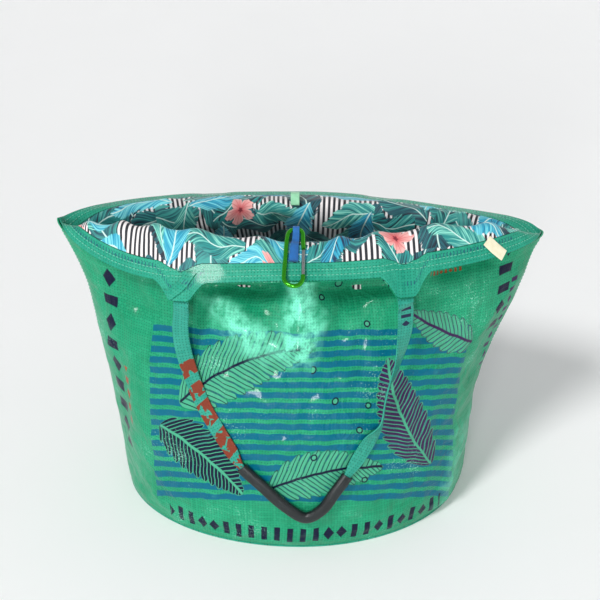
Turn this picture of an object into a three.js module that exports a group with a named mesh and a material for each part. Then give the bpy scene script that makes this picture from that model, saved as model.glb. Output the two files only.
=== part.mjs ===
// Tote bag sewn from woven feed sacks, standing open with its rim flopped outwards.
// Millimetres. X runs along the mouth, Y from the front panel to the back, Z up from the floor.
// The origin lies on the underside of the flat base, on the floor.
import * as THREE from "three";

// Cloth and trim
const PANEL_T = 1.4;
const LINING_T = 1.0;
const BASE_T = 1.6;
const LAYER_GAP = 0.6;
const SEAM_GAP = 0.4;
const FACING_W = 18;
const NOTCH_DEPTH = 9;
const NOTCH_HALF = 20;
const FLOOR_Z = BASE_T + LAYER_GAP;
const FLAP_EASE = 0.6;
const TIP_EASE = { at: 0.68, reach: 0.26, most: 1.3 };

// How far the layers inside a panel's outer face begin and end
const INNER_OUT = -(PANEL_T + LAYER_GAP);
const INNER_IN = INNER_OUT - LINING_T;

// Rails round the bag from the base seam to the rim: half widths and side heights, both panels
const SIDES = [
  { name: "seam", left: 186, right: 174, leftZ: FLOOR_Z, rightZ: FLOOR_Z, round: 1.0 },
  { name: "foot", left: 189, right: 178, leftZ: 13, rightZ: 13, round: 1.0 },
  { name: "low", left: 191, right: 180, leftZ: 45, rightZ: 45, round: 1.0 },
  { name: "waist", left: 198, right: 185, leftZ: 120, rightZ: 120, round: 0.95 },
  { name: "chest", left: 207, right: 205, leftZ: 185, rightZ: 185, round: 0.85 },
  { name: "high", left: 215, right: 223, leftZ: 240, rightZ: 238, round: 0.7 },
  { name: "shoulder", left: 230, right: 232, leftZ: 283, rightZ: 272, round: 0.6 },
  { name: "crest", left: 234, right: 236, leftZ: 293, rightZ: 281, round: 0.58 },
  { name: "lip", left: 236, right: 238, leftZ: 300, rightZ: 286, round: 0.56 },
  { name: "rim", left: 238, right: 240, leftZ: 307, rightZ: 292, round: 0.55 },
];

// Depth and height of each rail at the middle of the panel, and how it sags towards either side
const FRONT = [
  { depth: 134, z: FLOOR_Z, sagLeft: 0, sagRight: 0 },
  { depth: 138.5, z: 13, sagLeft: 0, sagRight: 0 },
  { depth: 141, z: 45, sagLeft: 0, sagRight: 0 },
  { depth: 130, z: 120, sagLeft: 0, sagRight: 0 },
  { depth: 108, z: 185, sagLeft: 0, sagRight: 0 },
  { depth: 82, z: 245, sagLeft: 0, sagRight: 0 },
  { depth: 60, z: 297, sagLeft: -11, sagRight: -13 },
  { depth: 63, z: 310.5, sagLeft: -14, sagRight: -18 },
  { depth: 74, z: 307.5, sagLeft: -5, sagRight: -12 },
  { depth: 99, z: 292, sagLeft: 19, sagRight: 0 },
];
const BACK = [
  { depth: 134, z: FLOOR_Z, sagLeft: 0, sagRight: 0 },
  { depth: 137, z: 13, sagLeft: 0, sagRight: 0 },
  { depth: 139, z: 45, sagLeft: 0, sagRight: 0 },
  { depth: 129, z: 115, sagLeft: 0, sagRight: 0 },
  { depth: 109, z: 178, sagLeft: 0, sagRight: 0 },
  { depth: 84, z: 232, sagLeft: 0, sagRight: 0 },
  { depth: 57, z: 278, sagLeft: -6, sagRight: 3 },
  { depth: 60, z: 290, sagLeft: -6, sagRight: 4 },
  { depth: 71, z: 288.5, sagLeft: -6, sagRight: 4 },
  { depth: 104, z: 280, sagLeft: -5, sagRight: 5 },
];

// Handle tabs: where the rim runs out into a tapering tab over each strap end
const FRONT_TABS = [
  { x: -112, top: 50, end: 18, length: 18 },
  { x: 98, top: 48, end: 17, length: 22 },
];
const BACK_TABS = [
  { x: -91, top: 48, end: 18, length: 18 },
  { x: 84, top: 48, end: 18, length: 18 },
];

// Soft ridges (rise above 0) and troughs (below 0), each from x1, z1 to x2, z2
const FRONT_FOLDS = [
  { x1: 0, z1: 292, x2: 1, z2: 218, spread: 14, rise: 9 },
  { x1: -84, z1: 262, x2: -46, z2: 224, spread: 9, rise: 3.5 },
  { x1: -58, z1: 288, x2: -40, z2: 262, spread: 16, rise: -4 },
  { x1: 52, z1: 288, x2: 40, z2: 258, spread: 16, rise: -4 },
  { x1: 30, z1: 226, x2: 62, z2: 196, spread: 10, rise: -2.5 },
  { x1: -172, z1: 274, x2: -162, z2: 236, spread: 10, rise: -4 },
  { x1: -186, z1: 158, x2: -178, z2: 24, spread: 13, rise: -3 },
  { x1: 196, z1: 188, x2: 180, z2: 160, spread: 15, rise: -6 },
  { x1: 168, z1: 88, x2: 152, z2: 12, spread: 15, rise: 3 },
  { x1: -30, z1: 44, x2: 40, z2: 30, spread: 14, rise: -2 },
  { x1: 0, z1: 34, x2: 2, z2: 4, spread: 18, rise: 1.5 },
];
const BACK_FOLDS = [
  { x1: -20, z1: 270, x2: -8, z2: 200, spread: 16, rise: 6 },
  { x1: 96, z1: 262, x2: 52, z2: 205, spread: 12, rise: -4 },
  { x1: -120, z1: 250, x2: -90, z2: 190, spread: 12, rise: -3.5 },
  { x1: 150, z1: 150, x2: 166, z2: 40, spread: 14, rise: -3 },
  { x1: -160, z1: 110, x2: -140, z2: 30, spread: 15, rise: 3 },
];

const panelSides = {
  front: { sign: -1, mid: FRONT, tabs: FRONT_TABS, folds: FRONT_FOLDS, tabDroop: 0 },
  back: { sign: 1, mid: BACK, tabs: BACK_TABS, folds: BACK_FOLDS, tabDroop: 0.3 },
};

// Straps, from under one tab, down the panel, through the grip and up to the other tab.
// gap is the strap's distance in front of the panel, turn its twist in degrees.
const STRAP_W = 15.6;
const STRAP_T = 1.6;
const CORE_W = 7.2;
const CORE_T = 3.4;
const FRONT_STRAP = [
  { x: -112, z: 257, gap: 30, turn: 0, fold: 0 },
  { x: -114, z: 235, gap: 23, turn: -10, fold: 0 },
  { x: -112, z: 212, gap: 14, turn: -14, fold: 0 },
  { x: -105, z: 184, gap: 5, turn: -6, fold: 0 },
  { x: -94, z: 157, gap: 3.4, turn: 0, fold: 0 },
  { x: -80, z: 134, gap: 3.2, turn: 0, fold: 0 },
  { x: -67, z: 115, gap: 3.6, turn: 0, fold: 0.1 },
  { x: -58, z: 102, gap: 5.6, turn: 0, fold: 1 },
  { x: -38, z: 84, gap: 6.4, turn: 0, fold: 1 },
  { x: -15, z: 62, gap: 6.4, turn: 0, fold: 1 },
  { x: 6, z: 48, gap: 6.4, turn: 0, fold: 1 },
  { x: 22, z: 58, gap: 6.4, turn: 0, fold: 1 },
  { x: 34, z: 76, gap: 6.4, turn: 0, fold: 1 },
  { x: 46, z: 92, gap: 5.6, turn: 0, fold: 1 },
  { x: 56, z: 107, gap: 4.2, turn: 0, fold: 0.1 },
  { x: 68, z: 127, gap: 5, turn: 12, fold: 0 },
  { x: 79, z: 148, gap: 12, turn: 62, fold: 0 },
  { x: 83, z: 175, gap: 16, turn: 72, fold: 0 },
  { x: 94, z: 208, gap: 21, turn: 50, fold: 0 },
  { x: 99, z: 238, gap: 28, turn: 14, fold: 0 },
  { x: 99, z: 262, gap: 39, turn: 0, fold: 0 },
];
const BACK_STRAP = [
  { x: -92, z: 252, gap: 48, turn: 0, fold: 0 },
  { x: -94, z: 226, gap: 32, turn: 0, fold: 0 },
  { x: -92, z: 198, gap: 16, turn: 0, fold: 0 },
  { x: -86, z: 172, gap: 5, turn: 0, fold: 0 },
  { x: -76, z: 148, gap: 3.4, turn: 0, fold: 0 },
  { x: -64, z: 124, gap: 3.4, turn: 0, fold: 0.1 },
  { x: -56, z: 112, gap: 5.6, turn: 0, fold: 1 },
  { x: -38, z: 88, gap: 6.4, turn: 0, fold: 1 },
  { x: -20, z: 68, gap: 6.4, turn: 0, fold: 1 },
  { x: 2, z: 58, gap: 6.4, turn: 0, fold: 1 },
  { x: 22, z: 70, gap: 6.4, turn: 0, fold: 1 },
  { x: 38, z: 90, gap: 6.4, turn: 0, fold: 1 },
  { x: 52, z: 112, gap: 5.6, turn: 0, fold: 1 },
  { x: 60, z: 124, gap: 3.4, turn: 0, fold: 0.1 },
  { x: 71, z: 148, gap: 3.4, turn: 0, fold: 0 },
  { x: 80, z: 172, gap: 5, turn: 0, fold: 0 },
  { x: 85, z: 198, gap: 16, turn: 0, fold: 0 },
  { x: 86, z: 226, gap: 32, turn: 0, fold: 0 },
  { x: 85, z: 252, gap: 48, turn: 0, fold: 0 },
];
const GRIP_W = 12;
const GRIP_T = 8;
const GRIP_BORE_W = CORE_W + 1.1;
const GRIP_BORE_T = CORE_T + 1.1;
const STRAP_STEP = 11;

// Spring clip of bent wire, lying on the crest and the rim with its narrow end up the slope
const WIRE_D = 4.2;
const GATE_D = 3.4;
const CLIP_TILT = THREE.MathUtils.degToRad(27);
const CLIP_FOOT = new THREE.Vector3(-5.8, -113.5, 294.5);
const CLIP_WIRE = [
  { across: 8.6, along: 13.6 },
  { across: 8.2, along: 8.6 },
  { across: 5.2, along: 3.6 },
  { across: 0, along: 2 },
  { across: -5.4, along: 4 },
  { across: -8.8, along: 9 },
  { across: -8.9, along: 16 },
  { across: -7.8, along: 32 },
  { across: -6.8, along: 49 },
  { across: -5.7, along: 57.5 },
  { across: -4.6, along: 61.4 },
  { across: -2, along: 63.9 },
  { across: 2.2, along: 64.4 },
  { across: 6, along: 63.9 },
  { across: 8.1, along: 61 },
  { across: 8.5, along: 56 },
  { across: 8.7, along: 49 },
  { across: 9, along: 42.4 },
];
const GATE_GAP = 0.42;

// Webbing loop that carries the clip, and the small empty loop on the back facing
const LOOP_W = 9;
const LOOP_EYE_W = 6.2;
const LOOP_T = 1.0;
const LOOP_FOOT_X = -6.1;
const LOOP_EYE_X = -3.6;
const LOOP_EYE_ALONG = 64.3;
const BACK_LOOP = { x: -5, width: 9, thick: 1.0, eye: 5.8 };

// Folded cloth tab across the front facing, near its right end
const SIDE_TAB = { from: 0.525, to: 0.585, width: 12, thick: 1.0, over: 1.5 };

// Grid lines shared by every layer, so that their facets stay parallel
const RIM = SIDES.length - 1;
const LIP = RIM - 1;
const CREST = RIM - 2;
const SHOULDER = RIM - 3;
const GRID_U = [0, 1, 2, 2.5, 3, 3.5, 4, 4.5, 5, 5.5, 6, 6.5, 7, 7.5, 8, 8.5, 9];
const EVEN_COLUMNS = 18;
const FOLD_END_COLUMNS = [0.61, 0.72];
const COLUMN_MERGE = 0.024;

// A point of one rail at s, from -1 at the left seam to 1 at the right one
function railPoint(side, row, s) {
  const rail = SIDES[row];
  const mid = side.mid[row];
  const turn = (Math.PI / 2) * s;
  const c = Math.cos(turn);
  const half = s < 0 ? rail.left : rail.right;
  const sideZ = s < 0 ? rail.leftZ : rail.rightZ;
  const sag = s < 0 ? mid.sagLeft : mid.sagRight;
  const depth = mid.depth * (rail.round * c + (1 - rail.round) * c * c);
  return new THREE.Vector3(
    half * Math.sin(turn),
    side.sign * (depth + SEAM_GAP / 2),
    sideZ + (mid.z - sideZ) * c - sag * c * Math.sin(Math.PI * s) ** 2,
  );
}

// How far a handle tab lengthens the flap at x
function tabLength(side, x) {
  let length = 0;
  for (const tab of side.tabs) {
    const rise = (tab.top / 2 - Math.abs(x - tab.x)) / (tab.top / 2 - tab.end / 2);
    length += tab.length * THREE.MathUtils.clamp(rise, 0, 1);
  }
  return length;
}

const columnCurves = new Map();

function columnCurve(side, s) {
  const key = side.sign + ":" + s.toFixed(6);
  if (!columnCurves.has(key)) {
    const points = SIDES.map((_, row) => railPoint(side, row, s));
    columnCurves.set(key, new THREE.CatmullRomCurve3(points, false, "centripetal"));
  }
  return columnCurves.get(key);
}

// The plain surface of a panel's printed face before its folds, at rail number u
function plainPoint(side, s, u) {
  const curve = columnCurve(side, s);
  const point = curve.getPoint(u / RIM);
  if (u > LIP) {
    const rim = curve.getPoint(1);
    const run = rim.clone().sub(curve.getPoint(LIP / RIM)).normalize();
    run.z -= side.tabDroop;
    run.normalize();
    point.addScaledVector(run, tabLength(side, rim.x) * (u - LIP));
  }
  return point;
}

function outward(side, s, u) {
  const step = 0.004;
  const s0 = Math.max(s - step, -1);
  const s1 = Math.min(s + step, 1);
  const u0 = Math.max(u - 0.02, 0);
  const u1 = Math.min(u + 0.02, RIM);
  const along = plainPoint(side, s1, u).sub(plainPoint(side, s0, u));
  const up = plainPoint(side, s, u1).sub(plainPoint(side, s, u0));
  const normal = along.cross(up).multiplyScalar(-side.sign);
  if (Math.abs(s) === 1) normal.y = 0;
  return normal.normalize();
}

// Height of the soft folds at x, z of a panel
function foldRise(side, x, z, u) {
  const fade = THREE.MathUtils.clamp(CREST - u, 0, 1);
  let rise = 0;
  for (const fold of side.folds) {
    const dx = fold.x2 - fold.x1;
    const dz = fold.z2 - fold.z1;
    const along = ((x - fold.x1) * dx + (z - fold.z1) * dz) / (dx * dx + dz * dz);
    const t = THREE.MathUtils.clamp(along, 0, 1);
    const away = Math.hypot(x - fold.x1 - dx * t, z - fold.z1 - dz * t);
    rise += fold.rise * Math.exp(-((away / fold.spread) ** 2));
  }
  return rise * fade;
}

// A point at a distance from a panel's printed face, inwards below zero
function offsetPoint(side, s, u, offset) {
  const point = plainPoint(side, s, u);
  const edge = Math.cos((Math.PI / 2) * s);
  const rise = foldRise(side, point.x, point.z, u) * Math.min(1, edge * 4) * Math.min(1, u);
  return point.addScaledVector(outward(side, s, u), offset + rise);
}

// The inner layers stand off a little more on the flap, most where the fold runs out to the tips
function innerEase(s, u) {
  const onFlap = THREE.MathUtils.clamp(u - SHOULDER, 0, 1);
  const byTip = Math.max(0, 1 - Math.abs(Math.abs(s) - TIP_EASE.at) / TIP_EASE.reach);
  return onFlap * (FLAP_EASE + TIP_EASE.most * byTip);
}

// A point of an inner layer, on the straight facets between the shared grid lines
function skinPoint(side, s, u, offset) {
  const top = GRID_U.findIndex((line, i) => i > 0 && u <= line + 1e-9);
  const low = GRID_U[top - 1];
  const high = GRID_U[top];
  const a = offsetPoint(side, s, low, offset - innerEase(s, low));
  const b = offsetPoint(side, s, high, offset - innerEase(s, high));
  return a.lerp(b, (u - low) / (high - low));
}

// Columns of a panel, in order round the bag: even ones, more where the fold runs out, and
// one at each corner of the tabs
function panelColumns(side) {
  const columns = FOLD_END_COLUMNS.flatMap((s) => [-s, s]);
  for (const tab of side.tabs) {
    for (const x of [-tab.top / 2, -tab.end / 2, 0, tab.end / 2, tab.top / 2]) {
      const at = tab.x + x;
      const half = at < 0 ? SIDES[RIM].left : SIDES[RIM].right;
      columns.push((2 / Math.PI) * Math.asin(at / half));
    }
  }
  for (let i = 0; i <= EVEN_COLUMNS; i++) {
    const s = (2 * i) / EVEN_COLUMNS - 1;
    const near = columns.some((c) => Math.abs(c - s) < COLUMN_MERGE);
    if (!near || Math.abs(s) === 1) columns.push(s);
  }
  return columns.sort((a, b) => side.sign * (b - a));
}

// Where the facing's inner edge crosses a column, measured back from the rim
function facingEdge(side, s, extra) {
  const rimX = plainPoint(side, s, RIM).x;
  let left = FACING_W + extra + tabLength(side, rimX);
  for (const tab of side.tabs) {
    left -= NOTCH_DEPTH * Math.max(0, 1 - Math.abs(rimX - tab.x) / NOTCH_HALF);
  }
  for (let i = GRID_U.length - 1; i > 0; i--) {
    const a = offsetPoint(side, s, GRID_U[i], INNER_IN);
    const b = offsetPoint(side, s, GRID_U[i - 1], INNER_IN);
    const run = a.distanceTo(b);
    if (left <= run) return GRID_U[i] - (left / run) * (GRID_U[i] - GRID_U[i - 1]);
    left -= run;
  }
  return 0;
}

// Closed solid between two grids of points; ring joins the last column to the first
function solidBetween(outer, inner, ring, cap) {
  const columns = outer.length;
  const rows = outer[0].length;
  const positions = [];
  const index = [];
  const push = (p) => positions.push(p.x, p.y, p.z) / 3 - 1;
  const ids = [outer, inner].map((grid) => grid.map((column) => column.map(push)));
  const quad = (a, b, c, d) => index.push(a, b, c, a, c, d);
  const last = ring ? columns : columns - 1;
  for (let i = 0; i < last; i++) {
    const j = (i + 1) % columns;
    for (let k = 0; k < rows - 1; k++) {
      quad(ids[0][i][k], ids[0][j][k], ids[0][j][k + 1], ids[0][i][k + 1]);
      quad(ids[1][i][k], ids[1][i][k + 1], ids[1][j][k + 1], ids[1][j][k]);
    }
    quad(ids[0][i][rows - 1], ids[0][j][rows - 1], ids[1][j][rows - 1], ids[1][i][rows - 1]);
    if (cap) {
      index.push(ids[0][j][0], ids[0][i][0], cap.outer(push));
      index.push(ids[1][i][0], ids[1][j][0], cap.inner(push));
    } else {
      quad(ids[0][i][0], ids[1][i][0], ids[1][j][0], ids[0][j][0]);
    }
  }
  if (!ring) {
    for (let k = 0; k < rows - 1; k++) {
      quad(ids[0][0][k], ids[0][0][k + 1], ids[1][0][k + 1], ids[1][0][k]);
      const e = columns - 1;
      quad(ids[0][e][k], ids[1][e][k], ids[1][e][k + 1], ids[0][e][k + 1]);
    }
  }
  return closedGeometry(positions, index);
}

function closedGeometry(positions, index) {
  const geometry = new THREE.BufferGeometry();
  geometry.setAttribute("position", new THREE.Float32BufferAttribute(positions, 3));
  geometry.setIndex(index);
  geometry.computeVertexNormals();
  return geometry;
}

// Turns a solid round if its faces point inwards
function facingOut(geometry) {
  const p = geometry.getAttribute("position");
  const ids = geometry.index.array;
  const [a, b, c] = [0, 1, 2].map(() => new THREE.Vector3());
  let volume = 0;
  for (let i = 0; i < ids.length; i += 3) {
    a.fromBufferAttribute(p, ids[i]);
    b.fromBufferAttribute(p, ids[i + 1]);
    c.fromBufferAttribute(p, ids[i + 2]);
    volume += a.dot(b.cross(c));
  }
  if (volume < 0) {
    for (let i = 0; i < ids.length; i += 3) {
      [ids[i + 1], ids[i + 2]] = [ids[i + 2], ids[i + 1]];
    }
    geometry.computeVertexNormals();
  }
  return geometry;
}

function panelGeometry(side) {
  const columns = panelColumns(side);
  const grid = (offset) => columns.map((s) => GRID_U.map((u) => offsetPoint(side, s, u, offset)));
  return facingOut(solidBetween(grid(0), grid(-PANEL_T), false));
}

// Rows from an edge to the rim, kept apart where they would fall together at the edge
function rowsFrom(edge) {
  const lines = GRID_U.filter((u) => u >= SHOULDER - 0.5);
  return lines.map((u, i) => Math.max(u, edge + 0.03 * i)).filter((u, i) => u <= RIM);
}

function facingGeometry(side) {
  const grid = (offset) =>
    panelColumns(side).map((s) => {
      const edge = facingEdge(side, s, 0);
      return rowsFrom(edge).map((u) => skinPoint(side, s, Math.min(u, RIM), offset));
    });
  return facingOut(solidBetween(grid(INNER_OUT), grid(INNER_IN), false));
}

// The lining: one inner bag from its flat floor to the facings' inner edges
function liningGeometry() {
  const { front, back } = panelSides;
  const column = (side, s, offset) => {
    const edge = facingEdge(side, s, LAYER_GAP);
    const count = GRID_U.length;
    return GRID_U.map((u, i) => {
      const point = skinPoint(side, s, Math.min(u, edge - 0.03 * (count - 1 - i)), offset);
      if (Math.abs(s) === 1) point.y = 0;
      return point;
    });
  };
  const grid = (offset, floor) => {
    const ring = panelColumns(front).map((s) => column(front, s, offset));
    const behind = panelColumns(back).slice(1, -1);
    ring.push(...behind.map((s) => column(back, s, offset)));
    for (const points of ring) {
      points[0].z = floor;
    }
    return ring;
  };
  const centre = (z) => {
    let id = -1;
    return (push) => (id < 0 ? (id = push(new THREE.Vector3(0, 0, z))) : id);
  };
  const inside = FLOOR_Z + LINING_T;
  const cap = { outer: centre(FLOOR_Z), inner: centre(inside) };
  return facingOut(solidBetween(grid(INNER_OUT, FLOOR_Z), grid(INNER_IN, inside), true, cap));
}

// The flat base oval under both panels
function baseGeometry() {
  const { front, back } = panelSides;
  const outline = panelColumns(front).map((s) => railPoint(front, 0, s));
  outline.push(...panelColumns(back).map((s) => railPoint(back, 0, s)));
  const shape = new THREE.Shape(outline.map((p) => new THREE.Vector2(p.x, p.y)));
  return new THREE.ExtrudeGeometry(shape, { depth: BASE_T, bevelEnabled: false });
}

// The panel point that lies behind x, z, with its outward direction
function panelAt(side, x, z) {
  const end = Math.sign(x) || 1;
  let s = x / SIDES[CREST].left;
  let u = 0;
  for (let pass = 0; pass < 6; pass++) {
    let low = 0;
    let high = CREST - 0.4;
    for (let i = 0; i < 24; i++) {
      u = (low + high) / 2;
      if (plainPoint(side, s, u).z < z) low = u;
      else high = u;
    }
    const half = Math.abs(plainPoint(side, end, u).x);
    s = (2 / Math.PI) * Math.asin(THREE.MathUtils.clamp(x / half, -0.98, 0.98));
  }
  return { point: offsetPoint(side, s, u, 0), normal: outward(side, s, u) };
}

// Stations of a strap: its tabs' undersides first and last, and the table's rows between
function strapStations(side, rows) {
  const flat = { turn: 0, fold: 0 };
  const away = LAYER_GAP + STRAP_T / 2 + 0.4;
  const underTab = (tab, u, beyond) => {
    const half = tab.x < 0 ? SIDES[RIM].left : SIDES[RIM].right;
    const s = (2 / Math.PI) * Math.asin(tab.x / half);
    const point = offsetPoint(side, s, u, away);
    const run = point.clone().sub(offsetPoint(side, s, u - 0.2, away)).normalize();
    point.addScaledVector(run, beyond);
    return { ...flat, point, normal: outward(side, s, u).negate() };
  };
  const hung = rows.map((row) => {
    const { point, normal } = panelAt(side, row.x, row.z);
    const centre = new THREE.Vector3(row.x, point.y + side.sign * row.gap, row.z);
    return { ...row, point: centre, normal };
  });
  const [first, last] = side.tabs;
  return [
    underTab(first, RIM - 0.35, 0),
    underTab(first, RIM, 0),
    underTab(first, RIM, 4),
    ...hung,
    underTab(last, RIM, 4),
    underTab(last, RIM, 0),
    underTab(last, RIM - 0.35, 0),
  ];
}

// Frames along a path of stations, evenly apart, each with its centre, width and depth directions
function pathFrames(stations, step) {
  const curve = new THREE.CatmullRomCurve3(
    stations.map((station) => station.point),
    false,
    "centripetal",
  );
  const count = Math.round(curve.getLength() / step);
  const frames = [];
  for (let i = 0; i <= count; i++) {
    const t = curve.getUtoTmapping(i / count);
    const at = t * (stations.length - 1);
    const k = Math.min(Math.floor(at), stations.length - 2);
    const mix = at - k;
    const [a, b] = [stations[k], stations[k + 1]];
    const tangent = curve.getTangent(t);
    const normal = a.normal.clone().lerp(b.normal, mix);
    const across = new THREE.Vector3().crossVectors(tangent, normal).normalize();
    const turn = THREE.MathUtils.degToRad(THREE.MathUtils.lerp(a.turn, b.turn, mix));
    across.applyAxisAngle(tangent, turn);
    const depth = new THREE.Vector3().crossVectors(across, tangent).normalize();
    const fold = THREE.MathUtils.lerp(a.fold, b.fold, mix);
    frames.push({ centre: curve.getPoint(t), across, depth, fold, at });
  }
  return frames;
}

// Eight points round a band or sleeve: crisp is 0 for an oval and 1 for a flat band
function sectionRing(frame, width, thick, crisp) {
  const power = THREE.MathUtils.lerp(1, 0.3, crisp);
  const ring = [];
  for (let k = 0; k < 8; k++) {
    const angle = (k + 0.5) * (Math.PI / 4);
    const x = Math.sign(Math.cos(angle)) * Math.abs(Math.cos(angle)) ** power;
    const y = Math.sign(Math.sin(angle)) * Math.abs(Math.sin(angle)) ** power;
    const point = frame.centre.clone().addScaledVector(frame.across, (x * width) / 2);
    ring.push(point.addScaledVector(frame.depth, (y * thick) / 2));
  }
  return ring;
}

// Closed solid through rings of points, its ends filled
function solidThrough(rings) {
  const positions = rings.flat().flatMap((p) => [p.x, p.y, p.z]);
  const n = rings[0].length;
  const index = [];
  for (let i = 0; i < rings.length - 1; i++) {
    for (let k = 0; k < n; k++) {
      const a = i * n + k;
      const b = i * n + ((k + 1) % n);
      index.push(a, b, b + n, a, b + n, a + n);
    }
  }
  const end = (rings.length - 1) * n;
  for (let k = 1; k < n - 1; k++) {
    index.push(0, k + 1, k, end, end + k, end + k + 1);
  }
  return facingOut(closedGeometry(positions, index));
}

function strapGeometry(frames) {
  const rings = frames.map((frame) => {
    const width = THREE.MathUtils.lerp(STRAP_W, CORE_W, frame.fold);
    const thick = THREE.MathUtils.lerp(STRAP_T, CORE_T, frame.fold);
    return sectionRing(frame, width, thick, 1 - frame.fold);
  });
  return solidThrough(rings);
}

// The grip: a sleeve over the folded stretch of the strap
function gripGeometry(frames) {
  const held = frames.filter((frame) => frame.fold > 0.95);
  const outer = held.map((frame) => sectionRing(frame, GRIP_W, GRIP_T, 0.25));
  const bore = held.map((frame) => sectionRing(frame, GRIP_BORE_W, GRIP_BORE_T, 0));
  const byPoint = (rings) => rings[0].map((_, k) => rings.map((ring) => ring[k]));
  return facingOut(solidBetween(byPoint(outer), byPoint(bore), true));
}

// The clip's own directions: along it up the slope, and out of its plane
const clipAlong = new THREE.Vector3(0, Math.cos(CLIP_TILT), Math.sin(CLIP_TILT));
const clipOut = new THREE.Vector3(0, -Math.sin(CLIP_TILT), Math.cos(CLIP_TILT));

function clipPoint(across, along) {
  return CLIP_FOOT.clone()
    .add(new THREE.Vector3(across, 0, 0))
    .addScaledVector(clipAlong, along);
}

function clipGeometry() {
  const path = new THREE.CatmullRomCurve3(
    CLIP_WIRE.map((p) => clipPoint(p.across, p.along)),
    false,
    "centripetal",
  );
  const sides = 8;
  const steps = 36;
  const rings = [];
  for (let i = 0; i <= steps; i++) {
    const t = path.getUtoTmapping(i / steps);
    const across = new THREE.Vector3().crossVectors(path.getTangent(t), clipOut).normalize();
    const ring = [];
    for (let k = 0; k < sides; k++) {
      const angle = (k / sides) * 2 * Math.PI;
      const point = path.getPoint(t).addScaledVector(across, (Math.cos(angle) * WIRE_D) / 2);
      ring.push(point.addScaledVector(clipOut, (Math.sin(angle) * WIRE_D) / 2));
    }
    rings.push(ring);
  }
  return solidThrough(rings);
}

// The gate: a round rod with a ball end at its hinge, 0.3 mm off both ends of the wire
function gateGeometry() {
  const hinge = CLIP_WIRE[CLIP_WIRE.length - 1];
  const nose = CLIP_WIRE[0];
  const radius = GATE_D / 2;
  const top = hinge.along - GATE_GAP;
  const bottom = nose.along + GATE_GAP;
  const length = top - bottom;
  const profile = [new THREE.Vector2(0, 0), new THREE.Vector2(radius, 0)];
  for (let i = 0; i <= 5; i++) {
    const angle = (i / 5) * (Math.PI / 2);
    const out = i === 5 ? 0 : radius * Math.cos(angle);
    profile.push(new THREE.Vector2(out, length - radius + radius * Math.sin(angle)));
  }
  const rod = new THREE.LatheGeometry(profile, 12);
  const from = clipPoint(nose.across, bottom);
  const to = clipPoint(hinge.across, top);
  const up = to.clone().sub(from).normalize();
  const turn = new THREE.Quaternion().setFromUnitVectors(new THREE.Vector3(0, 1, 0), up);
  return rod.applyQuaternion(turn).translate(from.x, from.y, from.z);
}

// A flat band through stations, with square edges, narrower where its stations are folded
function bandGeometry(stations, width, thick, step, foldedWidth = width) {
  const corners = [
    { x: 1, y: 1 },
    { x: -1, y: 1 },
    { x: -1, y: -1 },
    { x: 1, y: -1 },
  ];
  const rings = pathFrames(stations, step).map((frame) => {
    const half = THREE.MathUtils.lerp(width, foldedWidth, frame.fold) / 2;
    return corners.map(({ x, y }) => {
      const point = frame.centre.clone().addScaledVector(frame.across, x * half);
      return point.addScaledVector(frame.depth, (y * thick) / 2);
    });
  });
  return solidThrough(rings);
}

// The clip's webbing loop: out from the facing's edge over the crest, round the wire and back
function clipLoopGeometry() {
  const side = panelSides.front;
  const s = (2 / Math.PI) * Math.asin(LOOP_FOOT_X / SIDES[RIM].left);
  const edge = facingEdge(side, s, LAYER_GAP) - 0.02;
  const on = (u, lift, fold) => {
    const point = skinPoint(side, s, u, INNER_IN - lift);
    point.x = THREE.MathUtils.lerp(LOOP_FOOT_X, LOOP_EYE_X, fold);
    return { point, normal: outward(side, s, u).negate(), turn: 0, fold };
  };
  const low = LAYER_GAP + LOOP_T / 2 + 0.4;
  const high = low + LOOP_T + LAYER_GAP;
  const eye = clipPoint(0, LOOP_EYE_ALONG);
  const reach = WIRE_D / 2 + LAYER_GAP + LOOP_T / 2 + 0.1;
  const round = [-70, -35, 0, 35, 70, 105, 140].map((degrees) => {
    const angle = THREE.MathUtils.degToRad(degrees);
    const away = clipAlong.clone().multiplyScalar(Math.cos(angle));
    away.addScaledVector(clipOut, Math.sin(angle));
    const point = eye.clone().addScaledVector(away, reach);
    point.x = LOOP_EYE_X;
    return { point, normal: away, turn: 0, fold: 1 };
  });
  const crest = CREST + 0.1;
  const gathered = 0.85;
  const backwards = (station) => ({ ...station, normal: station.normal.clone().negate() });
  const stations = [
    backwards(on(edge, low, 0)),
    backwards(on(LIP - 0.4, low, 0.4)),
    backwards(on(crest, low, gathered)),
    ...round,
    on(crest, high, gathered),
    on(LIP - 0.4, high, 0.4),
    on(edge, high, 0),
  ];
  return bandGeometry(stations, LOOP_W, LOOP_T, 2.4, LOOP_EYE_W);
}

// The small empty loop, hanging from the back facing's inner edge over the lining
function backLoopGeometry() {
  const side = panelSides.back;
  const s = (2 / Math.PI) * Math.asin(BACK_LOOP.x / SIDES[RIM].left);
  const edge = facingEdge(side, s, LAYER_GAP) - 0.02;
  const low = LAYER_GAP + BACK_LOOP.thick / 2 + 0.1;
  const high = low + BACK_LOOP.thick + BACK_LOOP.eye;
  const on = (u, lift, flip) => {
    const point = skinPoint(side, s, u, INNER_IN - lift);
    point.x = BACK_LOOP.x;
    const normal = outward(side, s, u).multiplyScalar(flip);
    return { point, normal, turn: 0, fold: 0 };
  };
  const far = CREST + 0.2;
  const end = on(far - 0.35, (low + high) / 2, 1);
  end.normal = new THREE.Vector3(0, -1, 0);
  const stations = [
    on(edge, low, 1),
    on(LIP, low, 1),
    on(LIP - 0.4, low + 0.1, 1),
    on(far, low + 0.2, 1),
    end,
    on(far, high, -1),
    on(LIP - 0.2, high - 1.5, -1),
    on(edge, low + BACK_LOOP.thick + LAYER_GAP, -1),
  ];
  return bandGeometry(stations, BACK_LOOP.width, BACK_LOOP.thick, 2.4);
}

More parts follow.
